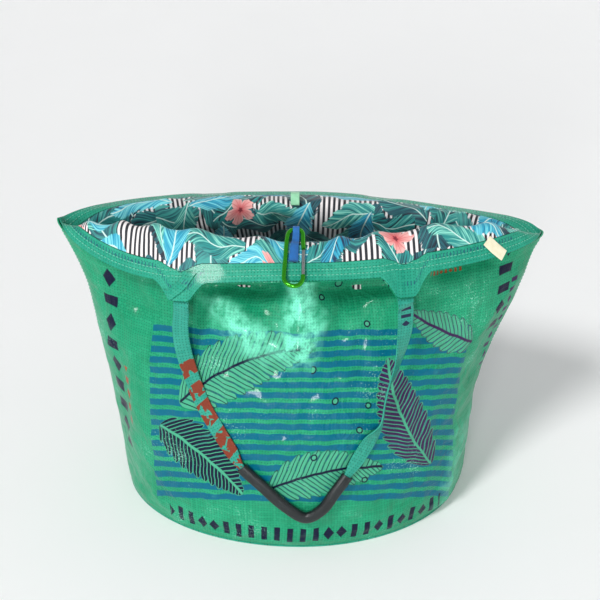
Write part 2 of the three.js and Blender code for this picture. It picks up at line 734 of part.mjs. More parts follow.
function sideTabGeometry() {
  const side = panelSides.front;
  const lift = LAYER_GAP + SIDE_TAB.thick / 2 + 0.3;
  const edge = facingEdge(side, SIDE_TAB.from, 0);
  const on = (part) => {
    const s = THREE.MathUtils.lerp(SIDE_TAB.from, SIDE_TAB.to, part);
    const u = THREE.MathUtils.lerp(edge, RIM, part);
    const point = skinPoint(side, s, u, INNER_IN - lift);
    return { point, normal: outward(side, s, u).negate(), turn: 0, fold: 0 };
  };
  const rim = on(1);
  const run = rim.point.clone().sub(on(0.7).point).normalize();
  const beyond = { ...rim, point: rim.point.clone().addScaledVector(run, SIDE_TAB.over) };
  const stations = [on(0), on(0.5), rim, beyond];
  return bandGeometry(stations, SIDE_TAB.width, SIDE_TAB.thick, 4);
}

const bag = new THREE.Group();

function add(name, geometry, color, roughness, metalness = 0) {
  const mesh = new THREE.Mesh(geometry, new THREE.MeshStandardMaterial({ color, roughness, metalness }));
  mesh.name = name;
  bag.add(mesh);
}

const SACK = "#3fae88";
const FACING = "#55bd9f";

add("base", baseGeometry(), SACK, 0.45);
for (const [name, side] of Object.entries(panelSides)) {
  add(name + "_panel", panelGeometry(side), SACK, 0.4);
  add(name + "_facing", facingGeometry(side), FACING, 0.45);
}
add("lining", liningGeometry(), "#2c6f74", 0.7);

const handles = { front: FRONT_STRAP, back: BACK_STRAP };
for (const [name, rows] of Object.entries(handles)) {
  const frames = pathFrames(strapStations(panelSides[name], rows), STRAP_STEP);
  add(name + "_strap", strapGeometry(frames), "#41b09a", 0.45);
  add(name + "_grip", gripGeometry(frames), "#2e3b3f", 0.8);
}

add("clip", clipGeometry(), "#2f9a2a", 0.3, 0.9);
add("clip_gate", gateGeometry(), "#9a9c9e", 0.35, 0.9);
add("clip_loop", clipLoopGeometry(), "#0b63ad", 0.8);
add("back_loop", backLoopGeometry(), "#8fd3a6", 0.75);
add("side_tab", sideTabGeometry(), "#f2ecc9", 0.8);

export default bag;
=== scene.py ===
import math

import bmesh
import bpy
import numpy as np
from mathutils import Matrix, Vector


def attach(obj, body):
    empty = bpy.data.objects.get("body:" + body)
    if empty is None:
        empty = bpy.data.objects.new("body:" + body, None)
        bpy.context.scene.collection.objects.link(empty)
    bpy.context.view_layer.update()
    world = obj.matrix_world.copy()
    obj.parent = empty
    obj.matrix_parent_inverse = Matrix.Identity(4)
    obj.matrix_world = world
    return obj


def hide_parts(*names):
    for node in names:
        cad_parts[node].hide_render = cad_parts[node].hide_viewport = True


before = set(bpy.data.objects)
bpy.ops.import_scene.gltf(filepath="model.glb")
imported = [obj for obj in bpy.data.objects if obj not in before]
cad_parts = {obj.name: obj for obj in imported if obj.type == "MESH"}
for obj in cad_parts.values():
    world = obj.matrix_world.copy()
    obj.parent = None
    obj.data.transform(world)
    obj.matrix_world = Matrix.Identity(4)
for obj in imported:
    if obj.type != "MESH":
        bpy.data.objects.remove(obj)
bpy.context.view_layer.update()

# Tote bag sewn from woven feed sacks, standing open with its rim flopped outwards.
# Blender's unit is the metre. The cutting tables are in millimetres and MM turns them to metres.
MM = 0.001


# Camera: a standing look down at the front of the bag
CAMERA_TILT = math.radians(33)
CAMERA_DISTANCE = 1.4
CAMERA_AIM = Vector((0, -0.010, 0.165))
FOCAL_LENGTH = 81.5
FILM_WIDTH = 36
FRAME_LIFT = 0.075


def set_up_camera():
    data = bpy.data.cameras.new("camera")
    data.lens = FOCAL_LENGTH
    data.sensor_width = FILM_WIDTH
    data.shift_y = FRAME_LIFT
    camera = bpy.data.objects.new("camera", data)
    bpy.context.scene.collection.objects.link(camera)
    back = Vector((0, -math.cos(CAMERA_TILT), math.sin(CAMERA_TILT)))
    camera.location = CAMERA_AIM + back * CAMERA_DISTANCE
    camera.rotation_euler = (math.pi / 2 - CAMERA_TILT, 0, 0)
    bpy.context.scene.camera = camera


set_up_camera()


# Thickness of each layer of cloth, and the air between layers
PANEL_T = 1.4
LINING_T = 1.0
BASE_T = 1.6
LAYER_GAP = 0.6
SEAM_GAP = 0.4
FACING_W = 18
NOTCH_DEPTH = 9
NOTCH_HALF = 20
FLAP_EASE = 0.6
TIP_EASE = {"at": 0.68, "reach": 0.26, "most": 1.3}
FLOOR_Z = BASE_T + LAYER_GAP
FACING_FACE = -(PANEL_T + LAYER_GAP)
FACING_BACK = FACING_FACE - LINING_T
# Room left where a strap or webbing is sewn on, and where it turns round the wire
SEWN_CLEAR = 0.4
TURN_CLEAR = 0.1
# Small steps up the rails and along the columns, for directions. Webbing runs on under an edge by the
# first of them.
RAIL_STEP = 0.02
COLUMN_STEP = 0.004

# Rails round the bag from the base seam to the rim: half widths left and right, heights of the
# seams left and right, and how round the outline is
SIDES = [
    (186, 174, FLOOR_Z, FLOOR_Z, 1.0),
    (189, 178, 13, 13, 1.0),
    (191, 180, 45, 45, 1.0),
    (198, 185, 120, 120, 0.95),
    (207, 205, 185, 185, 0.85),
    (215, 223, 240, 238, 0.7),
    (230, 232, 283, 272, 0.6),
    (234, 236, 293, 281, 0.58),
    (236, 238, 300, 286, 0.56),
    (238, 240, 307, 292, 0.55),
]
RIM = len(SIDES) - 1
LIP = RIM - 1
CREST = RIM - 2
SHOULDER = RIM - 3

# Depth and height of each rail at the middle of a panel, and its sag to the left and right
FRONT = [
    (134, FLOOR_Z, 0, 0),
    (138.5, 13, 0, 0),
    (141, 45, 0, 0),
    (130, 120, 0, 0),
    (108, 185, 0, 0),
    (82, 245, 0, 0),
    (60, 297, -11, -13),
    (63, 310.5, -14, -18),
    (74, 307.5, -5, -12),
    (99, 292, 19, 0),
]
BACK = [
    (134, FLOOR_Z, 0, 0),
    (137, 13, 0, 0),
    (139, 45, 0, 0),
    (129, 115, 0, 0),
    (109, 178, 0, 0),
    (84, 232, 0, 0),
    (57, 278, -6, 3),
    (60, 290, -6, 4),
    (71, 288.5, -6, 4),
    (104, 280, -5, 5),
]

# Handle tabs at the rim: place, width at the rim, width at the end, length
FRONT_TABS = [(-112, 50, 18, 18), (98, 48, 17, 22)]
BACK_TABS = [(-91, 48, 18, 18), (84, 48, 18, 18)]

# Soft ridges (rise above 0) and troughs (below 0): x1, z1, x2, z2, spread, rise
FRONT_FOLDS = [
    (0, 292, 1, 218, 16, 10),
    (-84, 262, -46, 224, 16, 5),
    (-60, 236, -20, 214, 20, 2.5),
    (-58, 292, -40, 270, 18, -12),
    (62, 292, 48, 264, 20, -14),
    (28, 276, 24, 232, 9, 3),
    (30, 226, 62, 196, 10, -2.5),
    (-172, 280, -162, 240, 13, -7),
    (-88, 267, -24, 268, 7, -7),
    (24, 268, 92, 266, 7, -8),
    (140, 276, 184, 279, 9, -8),
    (-186, 158, -178, 24, 13, -3),
    (196, 188, 180, 160, 15, -6),
    (168, 88, 152, 12, 15, 3),
    (-30, 44, 40, 30, 14, -2),
    (0, 34, 2, 4, 18, 1.5),
]
BACK_FOLDS = [
    (-20, 270, -8, 200, 16, 6),
    (96, 262, 52, 205, 12, -4),
    (-120, 250, -90, 190, 12, -3.5),
    (150, 150, 166, 40, 14, -3),
    (-160, 110, -140, 30, 15, 3),
]


class Side:
    """One panel of the bag: sign is -1 for the front and 1 for the back."""

    def __init__(self, sign, middle, tabs, folds, tab_droop):
        self.sign = sign
        self.middle = middle
        self.tabs = tabs
        self.folds = folds
        self.tab_droop = tab_droop


front = Side(-1, FRONT, FRONT_TABS, FRONT_FOLDS, 0)
back = Side(1, BACK, BACK_TABS, BACK_FOLDS, 0.3)


# Small creases all over the cloth: waves in random directions, drawn from a fixed seed
CREASES = {"waves": 26, "shortest": 16, "longest": 64, "rise": 1.3, "seed": 7}


def creases(x, z):
    rng = np.random.default_rng(CREASES["seed"])
    total = np.zeros_like(x)
    for _ in range(CREASES["waves"]):
        angle, start = rng.uniform(0, 2 * math.pi, 2)
        length = rng.uniform(CREASES["shortest"], CREASES["longest"])
        wave = np.sin((x * math.cos(angle) + z * math.sin(angle)) * 2 * math.pi / length + start)
        total += (1 - 2 * np.abs(wave)) * length
    return total * CREASES["rise"] / (CREASES["waves"] ** 0.5 * CREASES["longest"])


def unit(v):
    return v / np.maximum(np.linalg.norm(v, axis=-1, keepdims=True), 1e-12)


def rail_points(side, s):
    """Points of all rails at s, from -1 at the left seam to 1 at the right one."""
    rails = []
    cosine = np.cos(np.pi / 2 * s)
    sine = np.sin(np.pi / 2 * s)
    for (left, right, left_z, right_z, roundness), (deep, z, sag_left, sag_right) in zip(SIDES, side.middle):
        half = np.where(s < 0, left, right)
        end_z = np.where(s < 0, left_z, right_z)
        sag = np.where(s < 0, sag_left, sag_right)
        depth = deep * (roundness * cosine + (1 - roundness) * cosine**2)
        y = side.sign * (depth + SEAM_GAP / 2)
        height = end_z + (z - end_z) * cosine - sag * cosine * np.sin(np.pi * s) ** 2
        rails.append(np.stack([half * sine, y, height], -1))
    return np.stack(rails)


def centripetal(a, b, c, d, t):
    """Point at t from 0 to 1 between b and c, on the centripetal curve through a, b, c and d."""
    ab, bc, cd = (np.sqrt(np.linalg.norm(q - p, axis=-1, keepdims=True)) for p, q in ((a, b), (b, c), (c, d)))
    start = ((b - a) / ab - (c - a) / (ab + bc) + (c - b) / bc) * bc
    end = ((c - b) / bc - (d - b) / (bc + cd) + (d - c) / cd) * bc
    return b + start * t + (3 * (c - b) - 2 * start - end) * t**2 + (2 * (b - c) + start + end) * t**3


def along_rails(rails, u):
    """Centripetal curve through the rails at rail number u."""
    rails = np.concatenate([2 * rails[:1] - rails[1:2], rails, 2 * rails[-1:] - rails[-2:-1]])
    k = np.clip(np.floor(u).astype(int), 0, RIM - 1)
    t = (u - k)[..., None]
    column = np.broadcast_to(np.arange(rails.shape[1]).reshape(-1, *[1] * (u.ndim - 1)), u.shape)
    return centripetal(*(rails[k + j, column] for j in range(4)), t)


def tab_length(side, x):
    """How far the handle tabs lengthen the flap at x. Their sides curve in a little."""
    length = np.zeros_like(x)
    for at, top, end, long in side.tabs:
        rise = np.clip((top / 2 - np.abs(x - at)) / (top / 2 - end / 2), 0, 1)
        length += long * (0.5 * rise + 0.5 * rise**2 * (3 - 2 * rise) * rise)
    return length


def plain(side, s, u):
    """The smooth outer face of a panel before its folds, for arrays of s (columns) and u."""
    rails = rail_points(side, s[:, 0])
    point = along_rails(rails, u)
    rim = rails[RIM][:, None]
    run = unit(rim - rails[LIP][:, None])
    run = run - np.array([0, 0, side.tab_droop])
    long = tab_length(side, rim[..., 0]) * np.clip(u - LIP, 0, 1)
    return point + unit(run) * long[..., None]


def outward(side, s, u):
    s0, s1 = np.maximum(s - COLUMN_STEP, -1), np.minimum(s + COLUMN_STEP, 1)
    u0, u1 = np.maximum(u - RAIL_STEP, 0), np.minimum(u + RAIL_STEP, RIM)
    normal = np.cross(plain(side, s1, u) - plain(side, s0, u), plain(side, s, u1) - plain(side, s, u0))
    normal *= -side.sign
    normal[np.abs(s) == 1, 1] = 0
    return unit(normal)


def fold_rise(side, x, z, u):
    """Height of the soft folds at x, z of a panel; they die out under the flap's crest."""
    rise = creases(x * side.sign, z)
    for x1, z1, x2, z2, spread, height in side.folds:
        dx, dz = x2 - x1, z2 - z1
        t = np.clip(((x - x1) * dx + (z - z1) * dz) / (dx * dx + dz * dz), 0, 1)
        away = np.hypot(x - x1 - dx * t, z - z1 - dz * t)
        rise += height * np.exp(-((away / spread) ** 2))
    return rise * np.clip(CREST - u, 0, 1)


def inner_ease(s, u):
    """The inner layers stand off a little more on the flap, most near the tips."""
    on_flap = np.clip(u - SHOULDER, 0, 1)
    by_tip = np.maximum(0, 1 - np.abs(np.abs(s) - TIP_EASE["at"]) / TIP_EASE["reach"])
    return on_flap * (FLAP_EASE + TIP_EASE["most"] * by_tip)


def cloth(side, s, u, offset, inner=False):
    """Points at an offset from a panel's outer face, inwards below zero, folds included."""
    s, u = np.broadcast_arrays(np.asarray(s, float), np.asarray(u, float))
    point = plain(side, s, u)
    edge = np.minimum(1, 4 * np.cos(np.pi / 2 * s)) * np.minimum(1, u)
    rise = offset + fold_rise(side, point[..., 0], point[..., 2], u) * edge
    if inner:
        rise = rise - inner_ease(s, u)
    return point + outward(side, s, u) * rise[..., None]


def arc(points, axis):
    """Length along an axis of a grid of points, from 0 at its start."""
    step = np.linalg.norm(np.diff(points, axis=axis), axis=-1)
    pad = [(0, 0), (0, 0)]
    pad[axis] = (1, 0)
    return np.pad(np.cumsum(step, axis=axis), pad)


# Making a mesh piece in the bag's frame
BAG = "bag"
SAME_POINT = 1e-7
pieces = {}


def finish_mesh(name, mesh, node=None, body=BAG, sharp=50):
    mesh.validate()
    mesh.shade_smooth()
    mesh.set_sharp_from_angle(angle=math.radians(sharp))
    piece = bpy.data.objects.new(name, mesh)
    bpy.context.scene.collection.objects.link(piece)
    pieces[name] = piece
    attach(piece, body)
    if node:
        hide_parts(node)
    return piece


def solid_mesh(name, points, quads, uvs=None, uv_quads=None):
    """Closed mesh from points in millimetres; its faces are turned to point outwards."""
    quads = np.asarray(quads)
    points = np.asarray(points, float) * MM
    a, b, c, d = (points[quads[:, k]] for k in range(4))
    volume = np.einsum("ij,ij->", a, np.cross(b, c)) + np.einsum("ij,ij->", a, np.cross(c, d))
    uv_quads = quads if uv_quads is None else np.asarray(uv_quads)
    if volume < 0:
        quads, uv_quads = quads[:, ::-1], uv_quads[:, ::-1]
    faces = [tuple(dict.fromkeys(q)) for q in quads.tolist()]
    mesh = bpy.data.meshes.new(name)
    mesh.from_pydata(points.tolist(), [], faces)
    if uvs is not None:
        corners = [uv for q, w in zip(quads.tolist(), uv_quads.tolist()) for uv in dict(zip(q, w)).values()]
        layer = mesh.uv_layers.new(name="cloth")
        layer.data.foreach_set("uv", (np.asarray(uvs)[corners] * MM).ravel())
    return mesh


def close_poles(mesh):
    """Joins the points that meet at a pole, and drops the edge left between its two layers."""
    shape = bmesh.new()
    shape.from_mesh(mesh)
    bmesh.ops.remove_doubles(shape, verts=shape.verts, dist=SAME_POINT)
    bmesh.ops.delete(shape, geom=[edge for edge in shape.edges if not edge.link_faces], context="EDGES")
    shape.to_mesh(mesh)
    shape.free()


def thick_sheet(name, outer, inner, uv, ring=False):
    """Closed solid between two grids of points; ring joins the last column to the first."""
    columns, rows = outer.shape[:2]
    count = columns * rows
    wide = columns if ring else columns - 1
    i, k = np.meshgrid(np.arange(wide), np.arange(rows - 1), indexing="ij")
    i, k = i.ravel(), k.ravel()
    near = lambda layer, di, dk: layer * count + ((i + di) % columns) * rows + k + dk
    far = lambda di, dk: (i + di) * rows + k + dk
    quads = [np.stack([near(0, 0, 0), near(0, 1, 0), near(0, 1, 1), near(0, 0, 1)], 1)]
    quads.append(np.stack([near(1, 0, 0), near(1, 0, 1), near(1, 1, 1), near(1, 1, 0)], 1))
    uv_quads = [np.stack([far(0, 0), far(1, 0), far(1, 1), far(0, 1)], 1)]
    uv_quads.append(np.stack([far(0, 0), far(0, 1), far(1, 1), far(1, 0)], 1))
    i = np.arange(wide)
    for k, flip in ((0, 1), (rows - 1, 0)):
        a, b = i * rows + k, ((i + 1) % columns) * rows + k
        edge = np.stack([a, b, b + count, a + count], 1)
        flat = np.stack([a, (i + 1) * rows + k, (i + 1) * rows + k, a], 1)
        quads.append(edge[:, ::-1] if flip else edge)
        uv_quads.append(flat[:, ::-1] if flip else flat)
    if not ring:
        k = np.arange(rows - 1)
        for column, flip in ((0, 0), (columns - 1, 1)):
            a, b = column * rows + k, column * rows + k + 1
            edge = np.stack([a, b, b + count, a + count], 1)
            flat = np.stack([a, b, b, a], 1)
            quads.append(edge[:, ::-1] if flip else edge)
            uv_quads.append(flat[:, ::-1] if flip else flat)
    points = np.concatenate([outer.reshape(-1, 3), inner.reshape(-1, 3)])
    return solid_mesh(name, points, np.concatenate(quads), uv.reshape(-1, 2), np.concatenate(uv_quads))


# Panels: each is one sheet from the base seam to the rim, tabs included
SACK_W = 520
PANEL_COLUMNS = 200
PANEL_ROWS_BELOW = 100
PANEL_ROWS_FLAP = 28
# A fold that stands this far out gets the full pale mint on its ridge: film rubbed pale, and a painted
# highlight on the fold
WORN_AND_SHEEN_RISE = 6


def panel_columns():
    return np.linspace(-1, 1, PANEL_COLUMNS + 1)[:, None]


def panel_rows():
    below = np.linspace(0, SHOULDER, PANEL_ROWS_BELOW, endpoint=False)
    return np.concatenate([below, np.linspace(SHOULDER, RIM, PANEL_ROWS_FLAP)])[None]


def cloth_uv(points):
    """Flat place on the sack, in millimetres: 0 across at the middle, 0 up at the base seam."""
    across = arc(points, 0)
    share = across / across[-1:]
    return np.stack([(share - 0.5) * SACK_W, arc(points, 1)], -1)


def make_panel(name, side):
    """A panel, with how far its folds stand out kept as an attribute for rubbed film and a painted highlight
    on the ridges.
    """
    s, u = panel_columns(), panel_rows()
    outer = cloth(side, s, u, 0)
    inner = cloth(side, s, u, -PANEL_T)
    mesh = thick_sheet(name, outer, inner, cloth_uv(outer))
    face = plain(side, np.broadcast_to(s, outer.shape[:2]), np.broadcast_to(u, outer.shape[:2]))
    wear_and_painted_sheen = np.clip(fold_rise(side, face[..., 0], face[..., 2], u) / WORN_AND_SHEEN_RISE, 0, 1).ravel()
    mesh.attributes.new("wear_and_painted_sheen", "FLOAT", "POINT").data.foreach_set("value", np.concatenate([wear_and_painted_sheen, wear_and_painted_sheen]))
    piece = finish_mesh(name + "_cloth", mesh, name)


make_panel("front_panel", front)
make_panel("back_panel", back)


# Facings: bands of sack cloth on the inside of the rim, which show because the rim flops outwards
FACING_ROWS = 26
# Distances from the rim are measured down to this rail, in this many steps
SEARCH_FROM = SHOULDER - 1.5
SEARCH_STEPS = 400


def rail_near_rim(side, s, distance, notch=0):
    """Rail number at a distance in from the rim, tabs left out, at each column."""
    lines = np.linspace(SEARCH_FROM, RIM, SEARCH_STEPS)[None]
    points = cloth(side, s, lines, FACING_BACK, inner=True)
    back_from_rim = arc(points[:, ::-1], 1)
    rim_x = plain(side, s, np.full_like(s, RIM))[:, 0, 0]
    width = distance + tab_length(side, rim_x)
    for at, *_ in side.tabs:
        width -= notch * np.maximum(0, 1 - np.abs(rim_x - at) / NOTCH_HALF)
    return np.array([np.interp(w, d, lines[0, ::-1]) for w, d in zip(width, back_from_rim)])[:, None]


def facing_edge(side, s, extra):
    """Rail number of the facing's inner edge, which is notched at the handle tabs."""
    return rail_near_rim(side, s, FACING_W + extra, NOTCH_DEPTH)


def make_facing(name, side):
    """The band inside a panel's rim."""
    s = panel_columns()
    edge = facing_edge(side, s, 0)
    u = edge + (RIM - edge) * np.linspace(0, 1, FACING_ROWS)[None]
    outer = cloth(side, s, u, FACING_FACE, inner=True)
    inner = cloth(side, s, u, FACING_BACK, inner=True)
    along = arc(inner, 0)[:, -1:] + 0 * u
    across = arc(inner[:, ::-1], 1)[:, ::-1]
    mesh = thick_sheet(name, outer, inner, np.stack([along, across], -1))
    piece = finish_mesh(name + "_cloth", mesh, name)


make_facing("front_facing", front)
make_facing("back_facing", back)


# The lining is a little too wide for the bag, so it stands in soft upright folds
LINING_FOLDS = {"pitch": 43, "rise": 4.5, "wander": 1.6, "wander_pitch": 190, "edge": 0.9}
LOOP_CLEAR = 22
# Rows of the lining's mesh: on the floor, on the lower wall and on the wall above the split
LINING_ROWS = {"floor": 12, "low": 40, "high": 60, "split": 0.7}
GIRTH_ROW = 36


def lining_folds(side, s, u, edge):
    """How far the folds stand inwards: none at the floor, under the facing or at the webbing loops."""
    x = SIDES[CREST][1] * np.sin(np.pi / 2 * s)
    wander = LINING_FOLDS["wander"] * np.sin(2 * np.pi * x / LINING_FOLDS["wander_pitch"] + side.sign)
    wave = 0.5 - 0.5 * np.cos(2 * np.pi * x / LINING_FOLDS["pitch"] + wander + 0.5 * u)
    fade = np.clip((u - 1) / 2, 0, 1) * np.clip((edge - u) / LINING_FOLDS["edge"], 0, 1)
    clear = 1 - np.exp(-((x / LOOP_CLEAR) ** 2))
    return LINING_FOLDS["rise"] * wave**1.5 * fade * clear


def make_lining():
    """One inner bag: a flat floor, walls on the panels' inside, and its top under the facings."""
    rings = []
    for side, s in ((front, panel_columns()), (back, panel_columns()[-2:0:-1])):
        edge = facing_edge(side, s, LAYER_GAP)
        low = np.linspace(0, LINING_ROWS["split"], LINING_ROWS["low"], endpoint=False)
        high = np.linspace(LINING_ROWS["split"], 1, LINING_ROWS["high"])
        u = edge * np.concatenate([low, high])[None]
        stand = lining_folds(side, s, u, edge)
        outer = cloth(side, s, u, FACING_FACE - stand, inner=True)
        inner = cloth(side, s, u, FACING_BACK - stand, inner=True)
        for grid in (outer, inner):
            grid[np.abs(s[:, 0]) == 1, :, 1] = 0
        rings.append((outer, inner))
    outer, inner = (np.concatenate([r[k] for r in rings]) for k in (0, 1))
    outer[:, 0, 2] = FLOOR_Z
    inner[:, 0, 2] = FLOOR_Z + LINING_T
    floors = []
    share = np.linspace(0, 1, LINING_ROWS["floor"], endpoint=False)[None, :, None]
    for grid, z in ((outer, FLOOR_Z), (inner, FLOOR_Z + LINING_T)):
        floor = grid[:, :1] * share
        floor[..., 2] = z
        floors.append(np.concatenate([floor, grid], 1))
    outer, inner = floors
    across = arc(outer, 0)[:, GIRTH_ROW, None]
    girth = across[-1] + np.linalg.norm(outer[0, GIRTH_ROW] - outer[-1, GIRTH_ROW])
    across = np.concatenate([across, girth[None]])
    up = arc(outer, 1)
    up = np.concatenate([up, up[:1]])
    uv = np.stack([across + 0 * up, up], -1)
    mesh = thick_sheet("lining", outer, inner, uv, ring=True)
    close_poles(mesh)
    piece = finish_mesh("lining_print_cloth", mesh, "lining")


make_lining()


BASE_ROWS = 24


def make_base():
    """The oval base, sewn under both panels."""
    s = panel_columns()
    outline = np.concatenate([rail_points(front, s[:, 0])[0], rail_points(back, s[-2:0:-1, 0])[0]])
    share = np.linspace(0, 1, BASE_ROWS)[None, :, None]
    top = outline[:, None] * share
    top[..., 2] = BASE_T
    bottom = top.copy()
    bottom[..., 2] = 0
    uv = np.concatenate([top, top[:1]])[..., :2]
    mesh = thick_sheet("base", bottom, top, uv, ring=True)
    close_poles(mesh)
    piece = finish_mesh("base_cloth", mesh, "base")


make_base()


# Lap of the front band at the left tab: a short strip of the same cloth laid over its mitred joint.
# Corners: place round the rim, place from the band's inner edge (0) to the rim (1)
LAP_CORNERS = {"inner": ((-0.294, 0.03), (-0.264, 0.3)), "outer": ((-0.361, 0.97), (-0.334, 0.99))}
LAP_T = 1.0
LAP_SIZE = (0.0125, 0.031)
LAP_ROWS = 40
LAP_COLUMNS = 16


def flap_points(side, s, u, offset):
    """Cloth points where every point has its own place along the rim."""
    points = cloth(side, s.reshape(-1, 1), u.reshape(-1, 1), offset, inner=True)
    return points.reshape(*s.shape, 3)


def make_tab_lap():
    """The short strip, laid on the facing."""
    along, across = np.linspace(0, 1, LAP_ROWS)[:, None], np.linspace(0, 1, LAP_COLUMNS)[None]
    (a, b), (c, d) = (np.array(LAP_CORNERS[end]) for end in ("inner", "outer"))
    near, far = a + (b - a) * across[..., None], c + (d - c) * across[..., None]
    place = near + (far - near) * along[..., None]
    s, part = place[..., 0], place[..., 1]
    edge = facing_edge(front, s.reshape(-1, 1), 0).reshape(s.shape)
    u = edge + (RIM - edge) * part
    sheet = [flap_points(front, s, u, FACING_BACK - LAYER_GAP - lift) for lift in (0, LAP_T)]
    uv = np.stack([across * LAP_SIZE[0] / MM + 0 * along, along * LAP_SIZE[1] / MM + 0 * across], -1)
    mesh = thick_sheet("front_tab_lap", sheet[0], sheet[1], uv)
    piece = finish_mesh("front_tab_lap", mesh)


make_tab_lap()


# Straps: x, z, distance in front of the panel, twist in degrees, fold into the grip from 0 to 1
STRAP_W = 15.6
STRAP_T = 1.6
CORE_W = 7.2
CORE_T = 3.4
GRIP_W = 12
GRIP_T = 8
GRIP_PLAY = 1.1
GRIP_BORE_W = CORE_W + GRIP_PLAY
GRIP_BORE_T = CORE_T + GRIP_PLAY
GRIP_CRISP = 0.25
# The grip covers the stations where the strap is folded at least this much
GRIPPED = 0.95
STRAP_STEP = 2.5
STRAP_SIDES = 20
ROUND_SIDES = 28
# A strap's end runs under its tab from this far inside the rim, in rails, to this far past it
TAB_REACH = 0.35
PAST_RIM = 4
FRONT_STRAP = [
    (-112, 257, 30, 0, 0),
    (-114, 235, 23, -10, 0),
    (-112, 212, 14, -14, 0),
    (-105, 184, 5, -6, 0),
    (-94, 157, 3.4, 0, 0),
    (-80, 134, 3.2, 0, 0),
    (-67, 115, 3.6, 0, 0.1),
    (-58, 102, 5.6, 0, 1),
    (-38, 84, 6.4, 0, 1),
    (-15, 62, 6.4, 0, 1),
    (6, 48, 6.4, 0, 1),
    (22, 58, 6.4, 0, 1),
    (34, 76, 6.4, 0, 1),
    (46, 92, 5.6, 0, 1),
    (56, 107, 4.2, 0, 0.1),
    (68, 127, 5, 12, 0),
    (79, 148, 12, 62, 0),
    (83, 175, 16, 72, 0),
    (94, 208, 21, 50, 0),
    (99, 238, 28, 14, 0),
    (99, 262, 39, 0, 0),
]
BACK_STRAP = [
    (-92, 252, 48, 0, 0),
    (-94, 226, 32, 0, 0),
    (-92, 198, 16, 0, 0),
    (-86, 172, 5, 0, 0),
    (-76, 148, 3.4, 0, 0),
    (-64, 124, 3.4, 0, 0.1),
    (-56, 112, 5.6, 0, 1),
    (-38, 88, 6.4, 0, 1),
    (-20, 68, 6.4, 0, 1),
    (2, 58, 6.4, 0, 1),
    (22, 70, 6.4, 0, 1),
    (38, 90, 6.4, 0, 1),
    (52, 112, 5.6, 0, 1),
    (60, 124, 3.4, 0, 0.1),
    (71, 148, 3.4, 0, 0),
    (80, 172, 5, 0, 0),
    (85, 198, 16, 0, 0),
    (86, 226, 32, 0, 0),
    (85, 252, 48, 0, 0),
]


# Finding the panel behind a point takes a few rounds, and stays below the crest and off the seams
BELOW_CREST = 0.4
NEAR_SEAM = 0.98
PLACE_STEPS = 300
PLACE_ROUNDS = 6


def at(side, s, u, offset, inner=False):
    """One point of a side's cloth and its outward direction."""
    s, u = np.array([[float(s)]]), np.array([[float(u)]])
    return cloth(side, s, u, offset, inner)[0, 0], outward(side, s, u)[0, 0]


def panel_behind(side, x, z):
    """The panel point that lies behind x, z, with its outward direction."""
    end = np.sign(x) or 1
    s = x / SIDES[CREST][0]
    lines = np.linspace(0, CREST - BELOW_CREST, PLACE_STEPS)[None]
    for _ in range(PLACE_ROUNDS):
        heights = plain(side, np.array([[s]]), lines)[0, :, 2]
        u = float(np.interp(z, heights, lines[0]))
        half = abs(plain(side, np.array([[end]]), np.array([[u]]))[0, 0, 0])
        s = 2 / math.pi * math.asin(min(NEAR_SEAM, max(-NEAR_SEAM, x / half)))
    return at(side, s, u, 0)


def strap_stations(side, rows):
    """Centre, width's normal, twist and fold: the ends under the tabs, and the table between."""
    away = LAYER_GAP + STRAP_T / 2 + SEWN_CLEAR

    def under_tab(tab, u, beyond):
        half = SIDES[RIM][0] if tab[0] < 0 else SIDES[RIM][1]
        s = 2 / math.pi * math.asin(tab[0] / half)
        point, normal = at(side, s, u, away)
        run = unit(point - at(side, s, u - 0.2, away)[0])
        return point + run * beyond, -normal, 0, 0

    hung = []
    for x, z, gap, turn, fold in rows:
        point, normal = panel_behind(side, x, z)
        hung.append((np.array([x, point[1] + side.sign * gap, z]), normal, turn, fold))
    first, last = side.tabs
    places = [(RIM - TAB_REACH, 0), (RIM, 0), (RIM, PAST_RIM)]
    start = [under_tab(first, u, beyond) for u, beyond in places]
    end = [under_tab(last, u, beyond) for u, beyond in reversed(places)]
    return start + hung + end


# Steps in which a curve's length is measured
CURVE_STEPS = 2000


def path_frames(stations, step):
    """Frames evenly along a centripetal curve through stations: centre, across, depth, fold."""
    points = np.array([p for p, *_ in stations])
    ends = np.concatenate([2 * points[:1] - points[1:2], points, 2 * points[-1:] - points[-2:-1]])

    def curve(t):
        k = np.clip(np.floor(t).astype(int), 0, len(points) - 2)
        w = (t - k)[:, None]
        a, b, c, d = (ends[k + j] for j in range(4))
        return centripetal(a, b, c, d, w)

    fine = np.linspace(0, len(points) - 1, CURVE_STEPS)
    length = np.concatenate([[0], np.cumsum(np.linalg.norm(np.diff(curve(fine), axis=0), axis=1))])
    count = max(2, round(length[-1] / step))
    t = np.interp(np.linspace(0, length[-1], count + 1), length, fine)
    ahead, behind = np.minimum(t + COLUMN_STEP, len(points) - 1), np.maximum(t - COLUMN_STEP, 0)
    tangent = unit(curve(ahead) - curve(behind))

    def mix(values):
        return np.stack([np.interp(t, np.arange(len(points)), v) for v in np.array(values, float).T], -1)

    normal = mix([n for _, n, *_ in stations])
    turn, fold = mix([(turn, fold) for _, _, turn, fold in stations]).T
    across = unit(np.cross(tangent, normal))
    turn = np.radians(turn)[:, None]
    across = across * np.cos(turn) + np.cross(tangent, across) * np.sin(turn)
    depth = unit(np.cross(across, tangent))
    return {"centre": curve(t), "across": across, "depth": depth, "fold": fold, "tangent": tangent,
            "along": np.linspace(0, length[-1], count + 1)}


# How square the corners of a flat band are: 0 is an oval and 1 a sharp box
SQUARED = 0.7


def section(width, thick, crisp, points):
    """Closed outline of a band or sleeve: crisp is 0 for an oval and 1 for a flat band."""
    angle = (np.arange(points) + 0.5) * (2 * math.pi / points)
    power = 1 - SQUARED * np.asarray(crisp)[:, None]
    x = np.sign(np.cos(angle)) * np.abs(np.cos(angle)) ** power
    y = np.sign(np.sin(angle)) * np.abs(np.sin(angle)) ** power
    return np.stack([x * np.asarray(width)[:, None] / 2, y * np.asarray(thick)[:, None] / 2], -1)


